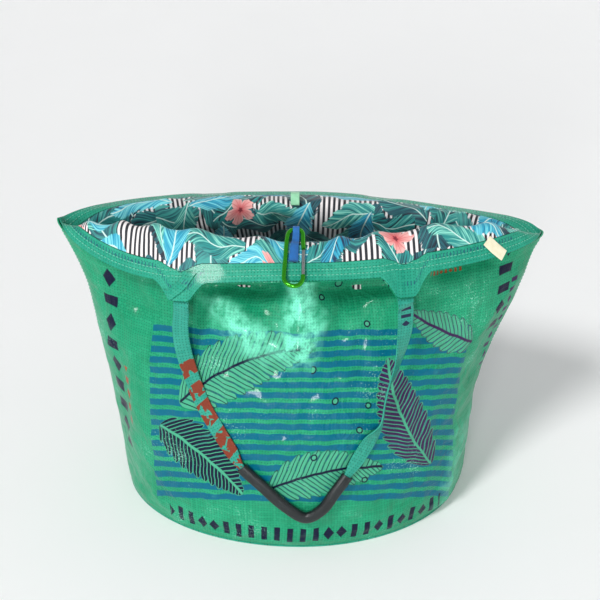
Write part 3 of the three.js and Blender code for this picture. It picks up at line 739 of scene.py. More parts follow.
def swept(frames, outline):
    """Rings of points: the outline carried along the frames."""
    x, y = outline[..., :1], outline[..., 1:]
    return frames["centre"][:, None] + frames["across"][:, None] * x + frames["depth"][:, None] * y


def girth_uv(rings, along):
    """Flat place on a swept piece, in millimetres: round it and along it."""
    girth = np.linalg.norm(np.diff(rings, axis=1, append=rings[:, :1]), axis=-1)
    girth = np.pad(np.cumsum(girth, axis=1), [(0, 0), (1, 0)])
    return np.stack([girth, along[:, None] + 0 * girth], -1)


def swept_solid(name, rings, along):
    """Closed solid through rings, its ends drawn in to a small cap."""
    count, around = rings.shape[:2]
    i, k = np.meshgrid(np.arange(count - 1), np.arange(around), indexing="ij")
    i, k = i.ravel(), k.ravel()
    n = (k + 1) % around
    quads = [np.stack([i * around + k, i * around + n, (i + 1) * around + n, (i + 1) * around + k], 1)]
    uv_quads = [np.stack([i * (around + 1) + k, i * (around + 1) + k + 1, (i + 1) * (around + 1) + k + 1,
                          (i + 1) * (around + 1) + k], 1)]
    centres = rings[[0, -1]].mean(axis=1)
    points = np.concatenate([rings.reshape(-1, 3), centres])
    k = np.arange(around)
    n = (k + 1) % around
    for ring, centre in ((0, count * around), (count - 1, count * around + 1)):
        c = np.full(around, centre)
        cap = np.stack([ring * around + k, c, c, ring * around + n], 1)
        quads.append(cap if ring == 0 else cap[:, ::-1])
        flat = np.stack([ring * (around + 1) + k] * 3 + [ring * (around + 1) + k + 1], 1)
        uv_quads.append(flat if ring == 0 else flat[:, ::-1])
    uv = girth_uv(rings, along).reshape(-1, 2)
    return solid_mesh(name, points, np.concatenate(quads), uv, np.concatenate(uv_quads))


def lerp(a, b, t):
    return a + (b - a) * t


def make_strap(name, side, rows):
    """A strap, and the sleeve round its folded middle."""
    frames = path_frames(strap_stations(side, rows), STRAP_STEP)
    fold = frames["fold"]
    outline = section(lerp(STRAP_W, CORE_W, fold), lerp(STRAP_T, CORE_T, fold), 1 - fold, STRAP_SIDES)
    mesh = swept_solid(name + "_strap", swept(frames, outline), frames["along"])
    piece = finish_mesh(name + "_strap_strip", mesh, name + "_strap", sharp=70)

    held = fold > GRIPPED
    grip = {key: value[held] for key, value in frames.items()}
    size = np.ones(held.sum())
    outer = swept(grip, section(GRIP_W * size, GRIP_T * size, GRIP_CRISP * size, ROUND_SIDES))
    bore = swept(grip, section(GRIP_BORE_W * size, GRIP_BORE_T * size, 0 * size, ROUND_SIDES))
    outer, bore, uv = (part.swapaxes(0, 1) for part in (outer, bore, girth_uv(outer, grip["along"])))
    mesh = thick_sheet(name + "_grip", outer, bore, uv, ring=True)
    finish_mesh(name + "_grip_sleeve", mesh, name + "_grip", sharp=60)


make_strap("front", front, FRONT_STRAP)
make_strap("back", back, BACK_STRAP)


# Spring clip of bent wire: places across and along it, lying on the crest and the rim
WIRE_D = 4.2
GATE_D = 3.4
GATE_GAP = 0.42
CLIP_TILT = math.radians(27)
CLIP_FOOT = np.array([-5.8, -113.5, 294.5])
CLIP_WIRE = [
    (8.6, 13.6), (8.2, 8.6), (5.2, 3.6), (0, 2), (-5.4, 4), (-8.8, 9),
    (-8.9, 16), (-7.8, 32), (-6.8, 49), (-5.7, 57.5), (-4.6, 61.4), (-2, 63.9),
    (2.2, 64.4), (6, 63.9), (8.1, 61), (8.5, 56), (8.7, 49), (9, 42.4),
]
WIRE_STEP = 1.0
WIRE_SIDES = 24
GATE_STEP = 0.4
# The gate's round end stops at this share of its width, squared, so it has no sharp point
GATE_TIP = 0.01
CLIP_ALONG = np.array([0, math.cos(CLIP_TILT), math.sin(CLIP_TILT)])
CLIP_OUT = np.array([0, -math.sin(CLIP_TILT), math.cos(CLIP_TILT)])


def clip_point(across, along):
    return CLIP_FOOT + np.array([across, 0, 0]) + CLIP_ALONG * along


def make_clip():
    """The bent wire, and the gate: a rod with a round free end."""
    stations = [(clip_point(*place), CLIP_OUT, 0, 0) for place in CLIP_WIRE]
    frames = path_frames(stations, WIRE_STEP)
    size = WIRE_D * np.ones(len(frames["along"]))
    mesh = swept_solid("clip", swept(frames, section(size, size, 0 * size, WIRE_SIDES)), frames["along"])
    finish_mesh("clip_wire", mesh, "clip", sharp=60)

    (x1, bottom), (x2, top) = CLIP_WIRE[0], CLIP_WIRE[-1]
    ends = [clip_point(x1, bottom + GATE_GAP), clip_point(x2, top - GATE_GAP)]
    length = np.linalg.norm(ends[1] - ends[0])
    stations = [(lerp(ends[0], ends[1], t), CLIP_OUT, 0, 0) for t in (0, 0.5, 1)]
    frames = path_frames(stations, GATE_STEP)
    ball = np.clip(length - frames["along"], 0, GATE_D / 2) / (GATE_D / 2)
    size = GATE_D * np.sqrt(np.maximum(1 - (1 - ball) ** 2, GATE_TIP))
    outline = section(size, size, 0 * size, WIRE_SIDES)
    mesh = swept_solid("clip_gate", swept(frames, outline), frames["along"])
    finish_mesh("clip_gate_rod", mesh, "clip_gate", body="gate", sharp=60)


make_clip()


# Webbing loops and the side tab
LOOP_W = 9
LOOP_EYE_W = 6.2
LOOP_T = 1.0
LOOP_FOOT_X = -6.1
LOOP_EYE_X = -3.6
LOOP_EYE_ALONG = 64.3
BACK_LOOP = {"x": -5, "width": 9, "thick": 1.0, "eye": 5.8}
# Where the front loop passes round the wire, in degrees
LOOP_TURNS = (-70, -35, 0, 35, 70, 105, 140)
SIDE_TAB = {"from": 0.525, "to": 0.585, "width": 12, "thick": 1.0, "over": 1.5, "clear": 0.3}
BAND_STEP = 0.8
BAND_CRISP = 0.9
BAND_SIDES = 20


def make_band(name, stations, width, thick, folded_width=None):
    """A closed band of webbing along stations, narrower where it is folded."""
    frames = path_frames(stations, BAND_STEP)
    folded_width = width if folded_width is None else folded_width
    size = np.ones(len(frames["along"]))
    outline = section(lerp(width, folded_width, frames["fold"]), thick * size, BAND_CRISP * size, BAND_SIDES)
    mesh = swept_solid(name, swept(frames, outline), frames["along"])
    piece = finish_mesh(name + "_tape", mesh, name, sharp=70)


def make_clip_loop():
    """Blue webbing from under the facing, round the clip's wire and back."""
    s = 2 / math.pi * math.asin(LOOP_FOOT_X / SIDES[RIM][0])
    edge = float(facing_edge(front, np.array([[s]]), LAYER_GAP)[0, 0]) - RAIL_STEP

    def on(u, lift, fold, flip=1):
        point, normal = at(front, s, u, FACING_BACK - lift, inner=True)
        point[0] = lerp(LOOP_FOOT_X, LOOP_EYE_X, fold)
        return point, -normal * flip, 0, fold

    low = LAYER_GAP + LOOP_T / 2 + SEWN_CLEAR
    high = low + LOOP_T + LAYER_GAP
    eye = clip_point(0, LOOP_EYE_ALONG)
    reach = WIRE_D / 2 + LAYER_GAP + LOOP_T / 2 + TURN_CLEAR
    round_wire = []
    for degrees in LOOP_TURNS:
        angle = math.radians(degrees)
        away = CLIP_ALONG * math.cos(angle) + CLIP_OUT * math.sin(angle)
        point = eye + away * reach
        point[0] = LOOP_EYE_X
        round_wire.append((point, away, 0, 1))
    crest = CREST + 0.1
    stations = [on(edge, low, 0, -1), on(LIP - 0.4, low, 0.4, -1), on(crest, low, 0.85, -1)]
    stations += round_wire
    stations += [on(crest, high, 0.85), on(LIP - 0.4, high, 0.4), on(edge, high, 0)]
    make_band("clip_loop", stations, LOOP_W, LOOP_T, LOOP_EYE_W)


def make_back_loop():
    """Pale green webbing from under the back facing, standing up as an empty eye."""
    s = 2 / math.pi * math.asin(BACK_LOOP["x"] / SIDES[RIM][0])
    edge = float(facing_edge(back, np.array([[s]]), LAYER_GAP)[0, 0]) - RAIL_STEP
    low = LAYER_GAP + BACK_LOOP["thick"] / 2 + TURN_CLEAR
    high = low + BACK_LOOP["thick"] + BACK_LOOP["eye"]

    def on(u, lift, flip):
        point, normal = at(back, s, u, FACING_BACK - lift, inner=True)
        point[0] = BACK_LOOP["x"]
        return point, normal * flip, 0, 0

    far = CREST + 0.2
    end = (on(far - 0.35, (low + high) / 2, 1)[0], np.array([0, -1.0, 0]), 0, 0)
    stations = [on(edge, low, 1), on(LIP, low, 1), on(LIP - 0.4, low + 0.1, 1), on(far, low + 0.2, 1), end]
    stations += [on(far, high, -1), on(LIP - 0.2, high - 1.5, -1)]
    stations += [on(edge, low + BACK_LOOP["thick"] + LAYER_GAP, -1)]
    make_band("back_loop", stations, BACK_LOOP["width"], BACK_LOOP["thick"])


def make_side_tab():
    """A short tape across the facing, its end just over the rim."""
    lift = LAYER_GAP + SIDE_TAB["thick"] / 2 + SIDE_TAB["clear"]
    edge = float(facing_edge(front, np.array([[SIDE_TAB["from"]]]), 0)[0, 0])

    def on(part):
        s = lerp(SIDE_TAB["from"], SIDE_TAB["to"], part)
        point, normal = at(front, s, lerp(edge, RIM, part), FACING_BACK - lift, inner=True)
        return point, -normal, 0, 0

    rim = on(1)
    run = unit(rim[0] - on(0.7)[0])
    beyond = (rim[0] + run * SIDE_TAB["over"], rim[1], 0, 0)
    make_band("side_tab", [on(0), on(0.5), rim, beyond], SIDE_TAB["width"], SIDE_TAB["thick"])


make_clip_loop()
make_back_loop()
make_side_tab()


# Sewing: rows of stitches along the rim, through both faces, and up the side seams
STITCH = {"Spacing": 4.0 * MM, "Length": 3.0 * MM, "Thickness": 0.7 * MM}
RIM_ROWS = (5.3, 10.8)
SEAM_ROW = 0.972
THREAD_LIFT = 0.15
# Seam lines stop just short of the side seams, and their points stand close enough to follow the folds
RIM_ROW_END = 0.985
RIM_ROW_POINTS = 260
SIDE_ROW_START = 0.3
SIDE_ROW_POINTS = 90


def stitch_tree(thread):
    """Lays one round-ended stitch at each spacing along every edge of a mesh of seam lines."""
    tree = bpy.data.node_groups.new("stitched rows", "GeometryNodeTree")
    tree.interface.new_socket("Seams", in_out="INPUT", socket_type="NodeSocketGeometry")
    for key, value in STITCH.items():
        tree.interface.new_socket(key, in_out="INPUT", socket_type="NodeSocketFloat").default_value = value
    tree.interface.new_socket("Stitches", in_out="OUTPUT", socket_type="NodeSocketGeometry")
    given = put(tree, "NodeGroupInput").outputs
    line = put(tree, "GeometryNodeMeshToCurve", {"Mesh": given["Seams"]})
    places = put(tree, "GeometryNodeResampleCurve", {"Curve": line, "Length": given["Spacing"]},
                 mode="LENGTH")
    grain = put(tree, "GeometryNodeMeshUVSphere", {"Segments": 6, "Rings": 5, "Radius": 0.5})
    size = put(tree, JOIN, (given["Length"], given["Thickness"], given["Thickness"]))
    grain = put(tree, "GeometryNodeTransform", {"Geometry": grain, "Scale": size})
    tangent = put(tree, "GeometryNodeInputTangent")
    turn = put(tree, "FunctionNodeAlignRotationToVector", {"Vector": tangent}, axis="X")
    laid = put(tree, "GeometryNodeInstanceOnPoints", {"Points": places, "Instance": grain, "Rotation": turn})
    solid = put(tree, "GeometryNodeRealizeInstances", {"Geometry": laid})
    coloured = put(tree, "GeometryNodeSetMaterial", {"Geometry": solid, "Material": thread})
    put(tree, "NodeGroupOutput", (coloured,))
    return tree


def seam_lines():
    """Polylines, in millimetres, of every row of stitches."""
    lines = []
    s = np.linspace(-RIM_ROW_END, RIM_ROW_END, RIM_ROW_POINTS)[:, None]
    for side in (front, back):
        for distance in RIM_ROWS:
            u = rail_near_rim(side, s, distance)
            lines.append(cloth(side, s, u, FACING_BACK - THREAD_LIFT, inner=True)[:, 0])
            lines.append(cloth(side, s, u, THREAD_LIFT)[:, 0])
        for end in (-SEAM_ROW, SEAM_ROW):
            rows = np.linspace(SIDE_ROW_START, CREST, SIDE_ROW_POINTS)[None]
            lines.append(cloth(side, np.array([[end]]), rows, THREAD_LIFT)[0])
    return lines


def make_stitches(thread):
    """All the stitches as one plain mesh."""
    lines = seam_lines()
    edges, start = [], 0
    for line in lines:
        edges += [(start + k, start + k + 1) for k in range(len(line) - 1)]
        start += len(line)
    mesh = bpy.data.meshes.new("seam lines")
    mesh.from_pydata((np.concatenate(lines) * MM).tolist(), edges, [])
    seams = bpy.data.objects.new("seam_lines", mesh)
    bpy.context.scene.collection.objects.link(seams)
    rows = seams.modifiers.new("stitched rows", "NODES")
    rows.node_group = stitch_tree(thread)
    for socket in rows.node_group.interface.items_tree:
        if socket.in_out == "INPUT" and socket.name in STITCH:
            rows[socket.identifier] = STITCH[socket.name]
    evaluated = seams.evaluated_get(bpy.context.evaluated_depsgraph_get())
    stitches = bpy.data.meshes.new_from_object(evaluated)
    bpy.data.objects.remove(seams)
    stitches.name = "stitches"
    finish_mesh("seam_stitches", stitches)


# Nodes: colours, one function that adds a node, and one that starts a named pattern
MATH = "ShaderNodeMath"
VECTOR = "ShaderNodeVectorMath"
MIX = "ShaderNodeMix"
RANGE = "ShaderNodeMapRange"
NOISE = "ShaderNodeTexNoise"
VORONOI = "ShaderNodeTexVoronoi"
RANDOM = "ShaderNodeTexWhiteNoise"
SPLIT = "ShaderNodeSeparateXYZ"
JOIN = "ShaderNodeCombineXYZ"
TURN = "ShaderNodeVectorRotate"
BUMP = "ShaderNodeBump"
CHANNELS = "ShaderNodeSeparateColor"
GROUP = "ShaderNodeGroup"
SOCKETS = {float: "NodeSocketFloat", tuple: "NodeSocketVector", str: "NodeSocketColor"}


def linear(hexes):
    """A linear colour from an sRGB hex value such as 3fae88."""
    values = [int(hexes[k:k + 2], 16) / 255 for k in (0, 2, 4)]
    return tuple(v / 12.92 if v <= 0.04045 else ((v + 0.055) / 1.055) ** 2.4 for v in values) + (1,)


def put(tree, kind, links=(), **settings):
    """Adds a node with its settings; its inputs, in order or by name, get values, colours or nodes."""
    node = tree.nodes.new(kind)
    for key, value in settings.items():
        setattr(node, key, value)
    sockets = [socket for socket in node.inputs if socket.enabled]
    for key, source in (links.items() if isinstance(links, dict) else enumerate(links)):
        socket = node.inputs[key] if isinstance(key, str) else sockets[key]
        if isinstance(source, bpy.types.Node):
            source = next(output for output in source.outputs if output.enabled)
        if isinstance(source, bpy.types.NodeSocket):
            tree.links.new(source, socket)
        else:
            socket.default_value = linear(source) if isinstance(source, str) else source
    return node


def pattern(name, inputs, outputs):
    """Starts a node group; inputs are names with usual values, outputs are names of numbers."""
    tree = bpy.data.node_groups.new(name, "ShaderNodeTree")
    for key, value in inputs.items():
        kind = SOCKETS[type(value)]
        socket = tree.interface.new_socket(key, in_out="INPUT", socket_type=kind)
        socket.default_value = linear(value) if isinstance(value, str) else value
    for key in outputs:
        tree.interface.new_socket(key, in_out="OUTPUT", socket_type="NodeSocketFloat")
    return tree, put(tree, "NodeGroupInput").outputs


# Plain weave of flat tapes: each square shows one tape on top, bowed across and dipping at its ends.
# Dark gaps show in the corners of the squares. Tapes are told apart by a number of their own.
GAP_START = 0.2
GAP_FULL = 0.6
TAPE_SETS_APART = 500.0


def weave_pattern():
    tree, given = pattern("plain weave", {"Place": (0.0, 0.0, 0.0), "Pitch": 1.0}, ["Height", "Gap", "Tape"])
    place = put(tree, VECTOR, (given["Place"], put(tree, MATH, (1.0, given["Pitch"]), operation="DIVIDE")),
                operation="SCALE")
    cell = put(tree, SPLIT, (put(tree, VECTOR, (place,), operation="FLOOR"),))
    inside = put(tree, VECTOR, (put(tree, VECTOR, (place,), operation="FRACTION"), (0.5, 0.5, 0.0)),
                 operation="SUBTRACT")
    square = put(tree, SPLIT, (put(tree, VECTOR, (inside, inside), operation="MULTIPLY"),))
    wide = put(tree, MATH, (square.outputs["X"], 4.0), operation="MULTIPLY")
    high = put(tree, MATH, (square.outputs["Y"], 4.0), operation="MULTIPLY")
    both = put(tree, MATH, (cell.outputs["X"], cell.outputs["Y"]), operation="ADD")
    over = put(tree, MATH, (both, 2.0), operation="FLOORED_MODULO")
    across = put(tree, MIX, (over, wide, high))
    along = put(tree, MIX, (over, high, wide))
    bow = put(tree, MATH, (across, across, along), operation="MULTIPLY_ADD")
    height = put(tree, MATH, (bow, -0.5, 1.0), operation="MULTIPLY_ADD")
    corner = put(tree, MATH, (wide, high), operation="MULTIPLY")
    gap = put(tree, RANGE, (corner, GAP_START, GAP_FULL, 0.0, 1.0))
    row = put(tree, MIX, (over, cell.outputs["X"], cell.outputs["Y"]))
    number = put(tree, MATH, (over, TAPE_SETS_APART, row), operation="MULTIPLY_ADD")
    tape = put(tree, RANDOM, (number,), noise_dimensions="1D")
    put(tree, "NodeGroupOutput", (height, gap, tape))
    return tree


# A printed palm leaf: narrow leaflets off a midrib inside a long oval, pointing to its tip.
# Leaflets and lines are in millimetres; the rest are shares and slopes.
LEAFLET_PITCH = 10.5
PALM = {"bend": 0.0022, "blunt": 0.6, "lean": -0.3, "slant": -0.8}
PALM.update({"round": -0.2, "narrow": -0.07, "full": 1.02})
LEAF_RIM = (0.6, 1.1)
MIDRIB = (1.0, 1.8)
SIDE_VEIN = (0.06, 0.14)


def palm_leaf_pattern():
    sizes = {"Place": (0.0, 0.0, 0.0), "Centre": (0.0, 0.0, 0.0)}
    sizes.update({"Angle": 0.0, "Length": 100.0, "Width": 40.0})
    tree, given = pattern("printed palm leaf", sizes, ["Fill", "Line"])
    local = put(tree, VECTOR, (given["Place"], given["Centre"]), operation="SUBTRACT")
    turned = put(tree, TURN, (local, (0.0, 0.0, 0.0), given["Angle"]), rotation_type="Z_AXIS")
    part = put(tree, SPLIT, (turned,))
    square = put(tree, MATH, (part.outputs["X"], part.outputs["X"]), operation="MULTIPLY")
    bent = put(tree, MATH, (square, PALM["bend"], part.outputs["Y"]), operation="MULTIPLY_ADD")
    off = put(tree, MATH, (bent,), operation="ABSOLUTE")
    half = put(tree, MATH, (given["Length"], 0.5), operation="MULTIPLY")
    t = put(tree, MATH, (part.outputs["X"], half), operation="DIVIDE")
    left = put(tree, MATH, (put(tree, MATH, (t, t), operation="MULTIPLY"), -1.0, 1.0),
               operation="MULTIPLY_ADD")
    oval = put(tree, MATH, (put(tree, MATH, (left, 0.0), operation="MAXIMUM"), PALM["blunt"]),
               operation="POWER")
    lean = put(tree, MATH, (t, PALM["lean"], 1.0), operation="MULTIPLY_ADD")
    width = put(tree, MATH, (put(tree, MATH, (oval, lean), operation="MULTIPLY"), given["Width"]),
                operation="MULTIPLY")
    width = put(tree, MATH, (width, 0.5), operation="MULTIPLY")
    slant = put(tree, MATH, (off, PALM["slant"], part.outputs["X"]), operation="MULTIPLY_ADD")
    leaflet = put(tree, MATH, (slant, LEAFLET_PITCH / 2), operation="PINGPONG")
    side = put(tree, MATH, (leaflet, 2 / LEAFLET_PITCH), operation="MULTIPLY")
    reach = put(tree, MATH, (off, put(tree, MATH, (width, 0.01), operation="MAXIMUM")), operation="DIVIDE")
    rounded = put(tree, MATH, (put(tree, MATH, (side, side), operation="MULTIPLY"), PALM["round"], 1.0),
                  operation="MULTIPLY_ADD")
    edge = put(tree, MATH, (put(tree, MATH, (width, rounded), operation="MULTIPLY"), off),
               operation="SUBTRACT")
    blade = put(tree, MATH, (reach, PALM["narrow"], PALM["full"]), operation="MULTIPLY_ADD")
    split = put(tree, MATH, (put(tree, MATH, (blade, side), operation="SUBTRACT"), LEAFLET_PITCH / 2),
                operation="MULTIPLY")
    inner = put(tree, MATH, (edge, split), operation="MINIMUM")
    fill = put(tree, RANGE, (inner, 0.0, 0.5, 0.0, 1.0))
    rim = put(tree, RANGE, (inner, *LEAF_RIM, 1.0, 0.0))
    vein = put(tree, RANGE, (side, *SIDE_VEIN, 1.0, 0.0))
    rib = put(tree, RANGE, (off, *MIDRIB, 1.0, 0.0))
    rib = put(tree, MATH, (rib, put(tree, RANGE, (left, 0.0, 0.05, 0.0, 1.0))), operation="MULTIPLY")
    drawn = put(tree, MATH, (put(tree, MATH, (rim, vein), operation="MAXIMUM"), fill), operation="MULTIPLY")
    line = put(tree, MATH, (drawn, rib), operation="MAXIMUM")
    put(tree, "NodeGroupOutput", (put(tree, MATH, (fill, rib), operation="MAXIMUM"), line))
    return tree


# A row of printed bars and diamonds, evenly spaced between a start and an end. Bar is the share of a
# place that a bar fills.
DIAMOND_CHANCE = 0.6
BAR_EDGE = 0.06
BAR_END = (0.95, 1.0)
DIAMOND_EDGE = (0.8, 0.9)


def row_pattern():
    sizes = {"Along": 0.0, "Across": 0.0, "Start": 0.0, "End": 100.0}
    sizes.update({"Half": 10.0, "Pitch": 20.0, "Bar": 0.42})
    tree, given = pattern("row of bars and diamonds", sizes, ["Mask"])
    place = put(tree, MATH, (given["Along"], given["Pitch"]), operation="DIVIDE")
    kind = put(tree, RANDOM, (put(tree, MATH, (place,), operation="FLOOR"),), noise_dimensions="1D")
    centred = put(tree, MATH, (put(tree, MATH, (place,), operation="FRACT"), 0.5), operation="SUBTRACT")
    off = put(tree, MATH, (put(tree, MATH, (centred,), operation="ABSOLUTE"), 2.0), operation="MULTIPLY")
    away = put(tree, MATH, (put(tree, MATH, (given["Across"],), operation="ABSOLUTE"), given["Half"]),
               operation="DIVIDE")
    bar_side = put(tree, MATH, (given["Bar"], BAR_EDGE), operation="ADD")
    bar = put(tree, RANGE, (off, given["Bar"], bar_side, 1.0, 0.0))
    bar = put(tree, MATH, (bar, put(tree, RANGE, (away, *BAR_END, 1.0, 0.0))), operation="MULTIPLY")
    diamond = put(tree, RANGE, (put(tree, MATH, (off, away), operation="ADD"), *DIAMOND_EDGE, 1.0, 0.0))
    chosen = put(tree, MATH, (kind, DIAMOND_CHANCE), operation="GREATER_THAN")
    shape = put(tree, MIX, (chosen, bar, diamond))
    begun = put(tree, MATH, (given["Along"], given["Start"]), operation="GREATER_THAN")
    before_end = put(tree, MATH, (given["Along"], given["End"]), operation="LESS_THAN")
    within = put(tree, MATH, (begun, before_end), operation="MULTIPLY")
    put(tree, "NodeGroupOutput", (put(tree, MATH, (shape, within), operation="MULTIPLY"),))
    return tree


# Scattered printed banana leaves: one in each cell, turned at random, streaked along its side veins
BANANA = {"loose": 0.75, "bend": 0.006, "slant": -1.3}
BANANA.update({"fine": 0.42, "coarse": 0.05, "own": 40.0, "ragged": 9.0})
BANANA_RIB = (0.35, 0.8)


def leaves_pattern():
    sizes = {"Place": (0.0, 0.0, 0.0), "Shift": (0.0, 0.0, 0.0)}
    sizes.update({"Spread": 50.0, "Length": 60.0, "Width": 24.0})
    tree, given = pattern("scattered leaves", sizes, ["Mask", "Rib", "Streak", "Tone"])
    scale = put(tree, MATH, (1.0, given["Spread"]), operation="DIVIDE")
    place = put(tree, VECTOR, (given["Place"], scale), operation="SCALE")
    place = put(tree, VECTOR, (place, given["Shift"]), operation="ADD")
    cells = put(tree, VORONOI, {"Vector": place, "Scale": 1.0, "Randomness": BANANA["loose"]},
                voronoi_dimensions="2D")
    chance = put(tree, CHANNELS, (cells.outputs["Color"],))
    local = put(tree, VECTOR, (place, cells.outputs["Position"]), operation="SUBTRACT")
    local = put(tree, VECTOR, (local, given["Spread"]), operation="SCALE")
    angle = put(tree, MATH, (chance.outputs["Red"], 2 * math.pi), operation="MULTIPLY")
    turned = put(tree, TURN, (local, (0.0, 0.0, 0.0), angle), rotation_type="Z_AXIS")
    part = put(tree, SPLIT, (turned,))
    square = put(tree, MATH, (part.outputs["X"], part.outputs["X"]), operation="MULTIPLY")
    across = put(tree, MATH, (square, BANANA["bend"], part.outputs["Y"]), operation="MULTIPLY_ADD")
    off = put(tree, MATH, (across,), operation="ABSOLUTE")
    half = put(tree, MATH, (given["Length"], 0.5), operation="MULTIPLY")
    t = put(tree, MATH, (part.outputs["X"], half), operation="DIVIDE")
    left = put(tree, MATH, (put(tree, MATH, (t, t), operation="MULTIPLY"), -1.0, 1.0),
               operation="MULTIPLY_ADD")
    width = put(tree, MATH, (left, put(tree, MATH, (given["Width"], 0.5), operation="MULTIPLY")),
                operation="MULTIPLY")
    slant = put(tree, MATH, (off, BANANA["slant"], part.outputs["X"]), operation="MULTIPLY_ADD")
    side = put(tree, MATH, (across,), operation="SIGN")
    fine = put(tree, MATH, (slant, BANANA["fine"]), operation="MULTIPLY")
    coarse = put(tree, MATH, (off, BANANA["coarse"]), operation="MULTIPLY")
    own = put(tree, MATH, (chance.outputs["Green"], BANANA["own"], side), operation="MULTIPLY_ADD")
    grain = put(tree, JOIN, (fine, coarse, own))
    streak = put(tree, NOISE, {"Vector": grain, "Scale": 1.0, "Detail": 2.0, "Roughness": 0.6})
    ragged = put(tree, MATH, (put(tree, MATH, (streak, 0.5), operation="SUBTRACT"), BANANA["ragged"]),
                 operation="MULTIPLY")
    inner = put(tree, MATH, (put(tree, MATH, (width, off), operation="SUBTRACT"), ragged), operation="ADD")
    mask = put(tree, RANGE, (inner, 0.0, 0.8, 0.0, 1.0))
    rib = put(tree, MATH, (put(tree, RANGE, (off, *BANANA_RIB, 1.0, 0.0)), mask), operation="MULTIPLY")
    put(tree, "NodeGroupOutput", (mask, rib, streak, chance.outputs["Blue"]))
    return tree


# Scattered printed hibiscus: five petals with wavy edges, veined like fans
PETALS = 5
PETAL_VEINS = 20.0
PETAL = {"loose": 0.7, "round": 0.45, "reach": 0.6, "heart": 0.4, "waves": 0.25, "wavy": 0.6, "least": 0.7}


def flowers_pattern():
    sizes = {"Place": (0.0, 0.0, 0.0), "Shift": (0.0, 0.0, 0.0), "Spread": 96.0, "Radius": 15.0}
    tree, given = pattern("scattered flowers", sizes, ["Mask", "Out", "Vein"])
    scale = put(tree, MATH, (1.0, given["Spread"]), operation="DIVIDE")
    place = put(tree, VECTOR, (given["Place"], scale), operation="SCALE")
    place = put(tree, VECTOR, (place, given["Shift"]), operation="ADD")
    cells = put(tree, VORONOI, {"Vector": place, "Scale": 1.0, "Randomness": PETAL["loose"]},
                voronoi_dimensions="2D")
    local = put(tree, VECTOR, (place, cells.outputs["Position"]), operation="SUBTRACT")
    local = put(tree, VECTOR, (local, given["Spread"]), operation="SCALE")
    part = put(tree, SPLIT, (local,))
    away = put(tree, VECTOR, (local,), operation="LENGTH")
    angle = put(tree, MATH, (part.outputs["Y"], part.outputs["X"]), operation="ARCTAN2")
    wave = put(tree, MATH, (put(tree, MATH, (angle, PETALS / 2), operation="MULTIPLY"),), operation="COSINE")
    petal = put(tree, MATH, (put(tree, MATH, (wave,), operation="ABSOLUTE"), PETAL["round"]),
                operation="POWER")
    reach = put(tree, MATH, (petal, PETAL["reach"], PETAL["heart"]), operation="MULTIPLY_ADD")
    reach = put(tree, MATH, (reach, given["Radius"]), operation="MULTIPLY")
    waves = put(tree, NOISE, {"Vector": given["Place"], "Scale": PETAL["waves"], "Detail": 1.0})
    wavy = put(tree, MATH, (waves, PETAL["wavy"], PETAL["least"]), operation="MULTIPLY_ADD")
    reach = put(tree, MATH, (reach, wavy), operation="MULTIPLY")
    out = put(tree, MATH, (away, reach), operation="DIVIDE")
    mask = put(tree, RANGE, (out, 0.94, 1.0, 1.0, 0.0))
    fan = put(tree, MATH, (put(tree, MATH, (angle, PETAL_VEINS), operation="MULTIPLY"),),
              operation="COSINE")
    put(tree, "NodeGroupOutput", (mask, out, fan))
    return tree


weave = weave_pattern()
palm_leaf = palm_leaf_pattern()
printed_row = row_pattern()
scattered_leaves = leaves_pattern()
scattered_flowers = flowers_pattern()


def new_material(name):
    """An empty material: its node tree, its surface shader and the cloth's place in millimetres."""
    material = bpy.data.materials.new(name)
    material.use_nodes = True
    tree = material.node_tree
    uv = put(tree, "ShaderNodeUVMap", uv_map="cloth")
    place = put(tree, VECTOR, (uv, 1 / MM), operation="SCALE")
    return material, tree, tree.nodes["Principled BSDF"], place


def finish(shader, colour, rough=None, bump=None, **values):
    """Links a shader's colour, roughness and bump, and sets its uniform values by name."""
    tree = shader.id_data
    for key, source in (("Base Color", colour), ("Roughness", rough), ("Normal", bump)):
        if source is not None:
            tree.links.new(next(output for output in source.outputs if output.enabled), shader.inputs[key])
    for key, value in values.items():
        next(i for i in shader.inputs if i.name.lower() == key.replace("_", " ")).default_value = value


# Woven polypropylene sack cloth with a clear laminated film: flat tapes 3 mm wide that show as a
# fine grid, under a slightly wavy gloss. The eye sees broad soft glints broken up by the weave, and
# small sharp ones where the film is creased. Noise scales are in waves a millimetre.
TAPE_PITCH = 3.0
TAPE_TONE = 0.18
TAPE_GAP_DARK = 0.75
GAP_COLOUR = "074a36"
WEAR_CLOUD = {"Scale": 0.018, "Detail": 4.0, "Roughness": 0.6}
SOFT_CREASE = {"Scale": 0.045, "Detail": 3.0, "Roughness": 0.5, "Distortion": 0.8}
SHARP_CREASE = {"Scale": 0.03, "Detail": 2.0, "Roughness": 0.4, "Distortion": 1.2}
SOFT_CREASE_RISE = 6.0
SHARP_CREASE_RISE = -22.0
FILM_ROUGH = (0.26, 0.4)
FILM_ROUGH_TAPE = 0.1


def sack_ground(tree, place, low, high, seed):
    """Colour of the unprinted tapes, their weave node, and a slow noise for rubbed film and for pale specks.
    """
    tapes = put(tree, GROUP, {"Place": place, "Pitch": TAPE_PITCH}, node_tree=weave)
    moved = put(tree, VECTOR, (place, (seed, seed, 0.0)), operation="ADD")
    cloud = put(tree, NOISE, {"Vector": moved, **WEAR_CLOUD})
    tone = put(tree, MATH, (tapes.outputs["Tape"], TAPE_TONE, cloud), operation="MULTIPLY_ADD")
    share = put(tree, RANGE, (tone, 0.35, 0.85, 0.0, 1.0))
    colour = put(tree, MIX, (share, low, high), data_type="RGBA")
    dark = put(tree, MATH, (tapes.outputs["Gap"], TAPE_GAP_DARK), operation="MULTIPLY")
    colour = put(tree, MIX, (dark, colour, GAP_COLOUR), data_type="RGBA")
    return colour, tapes, cloud


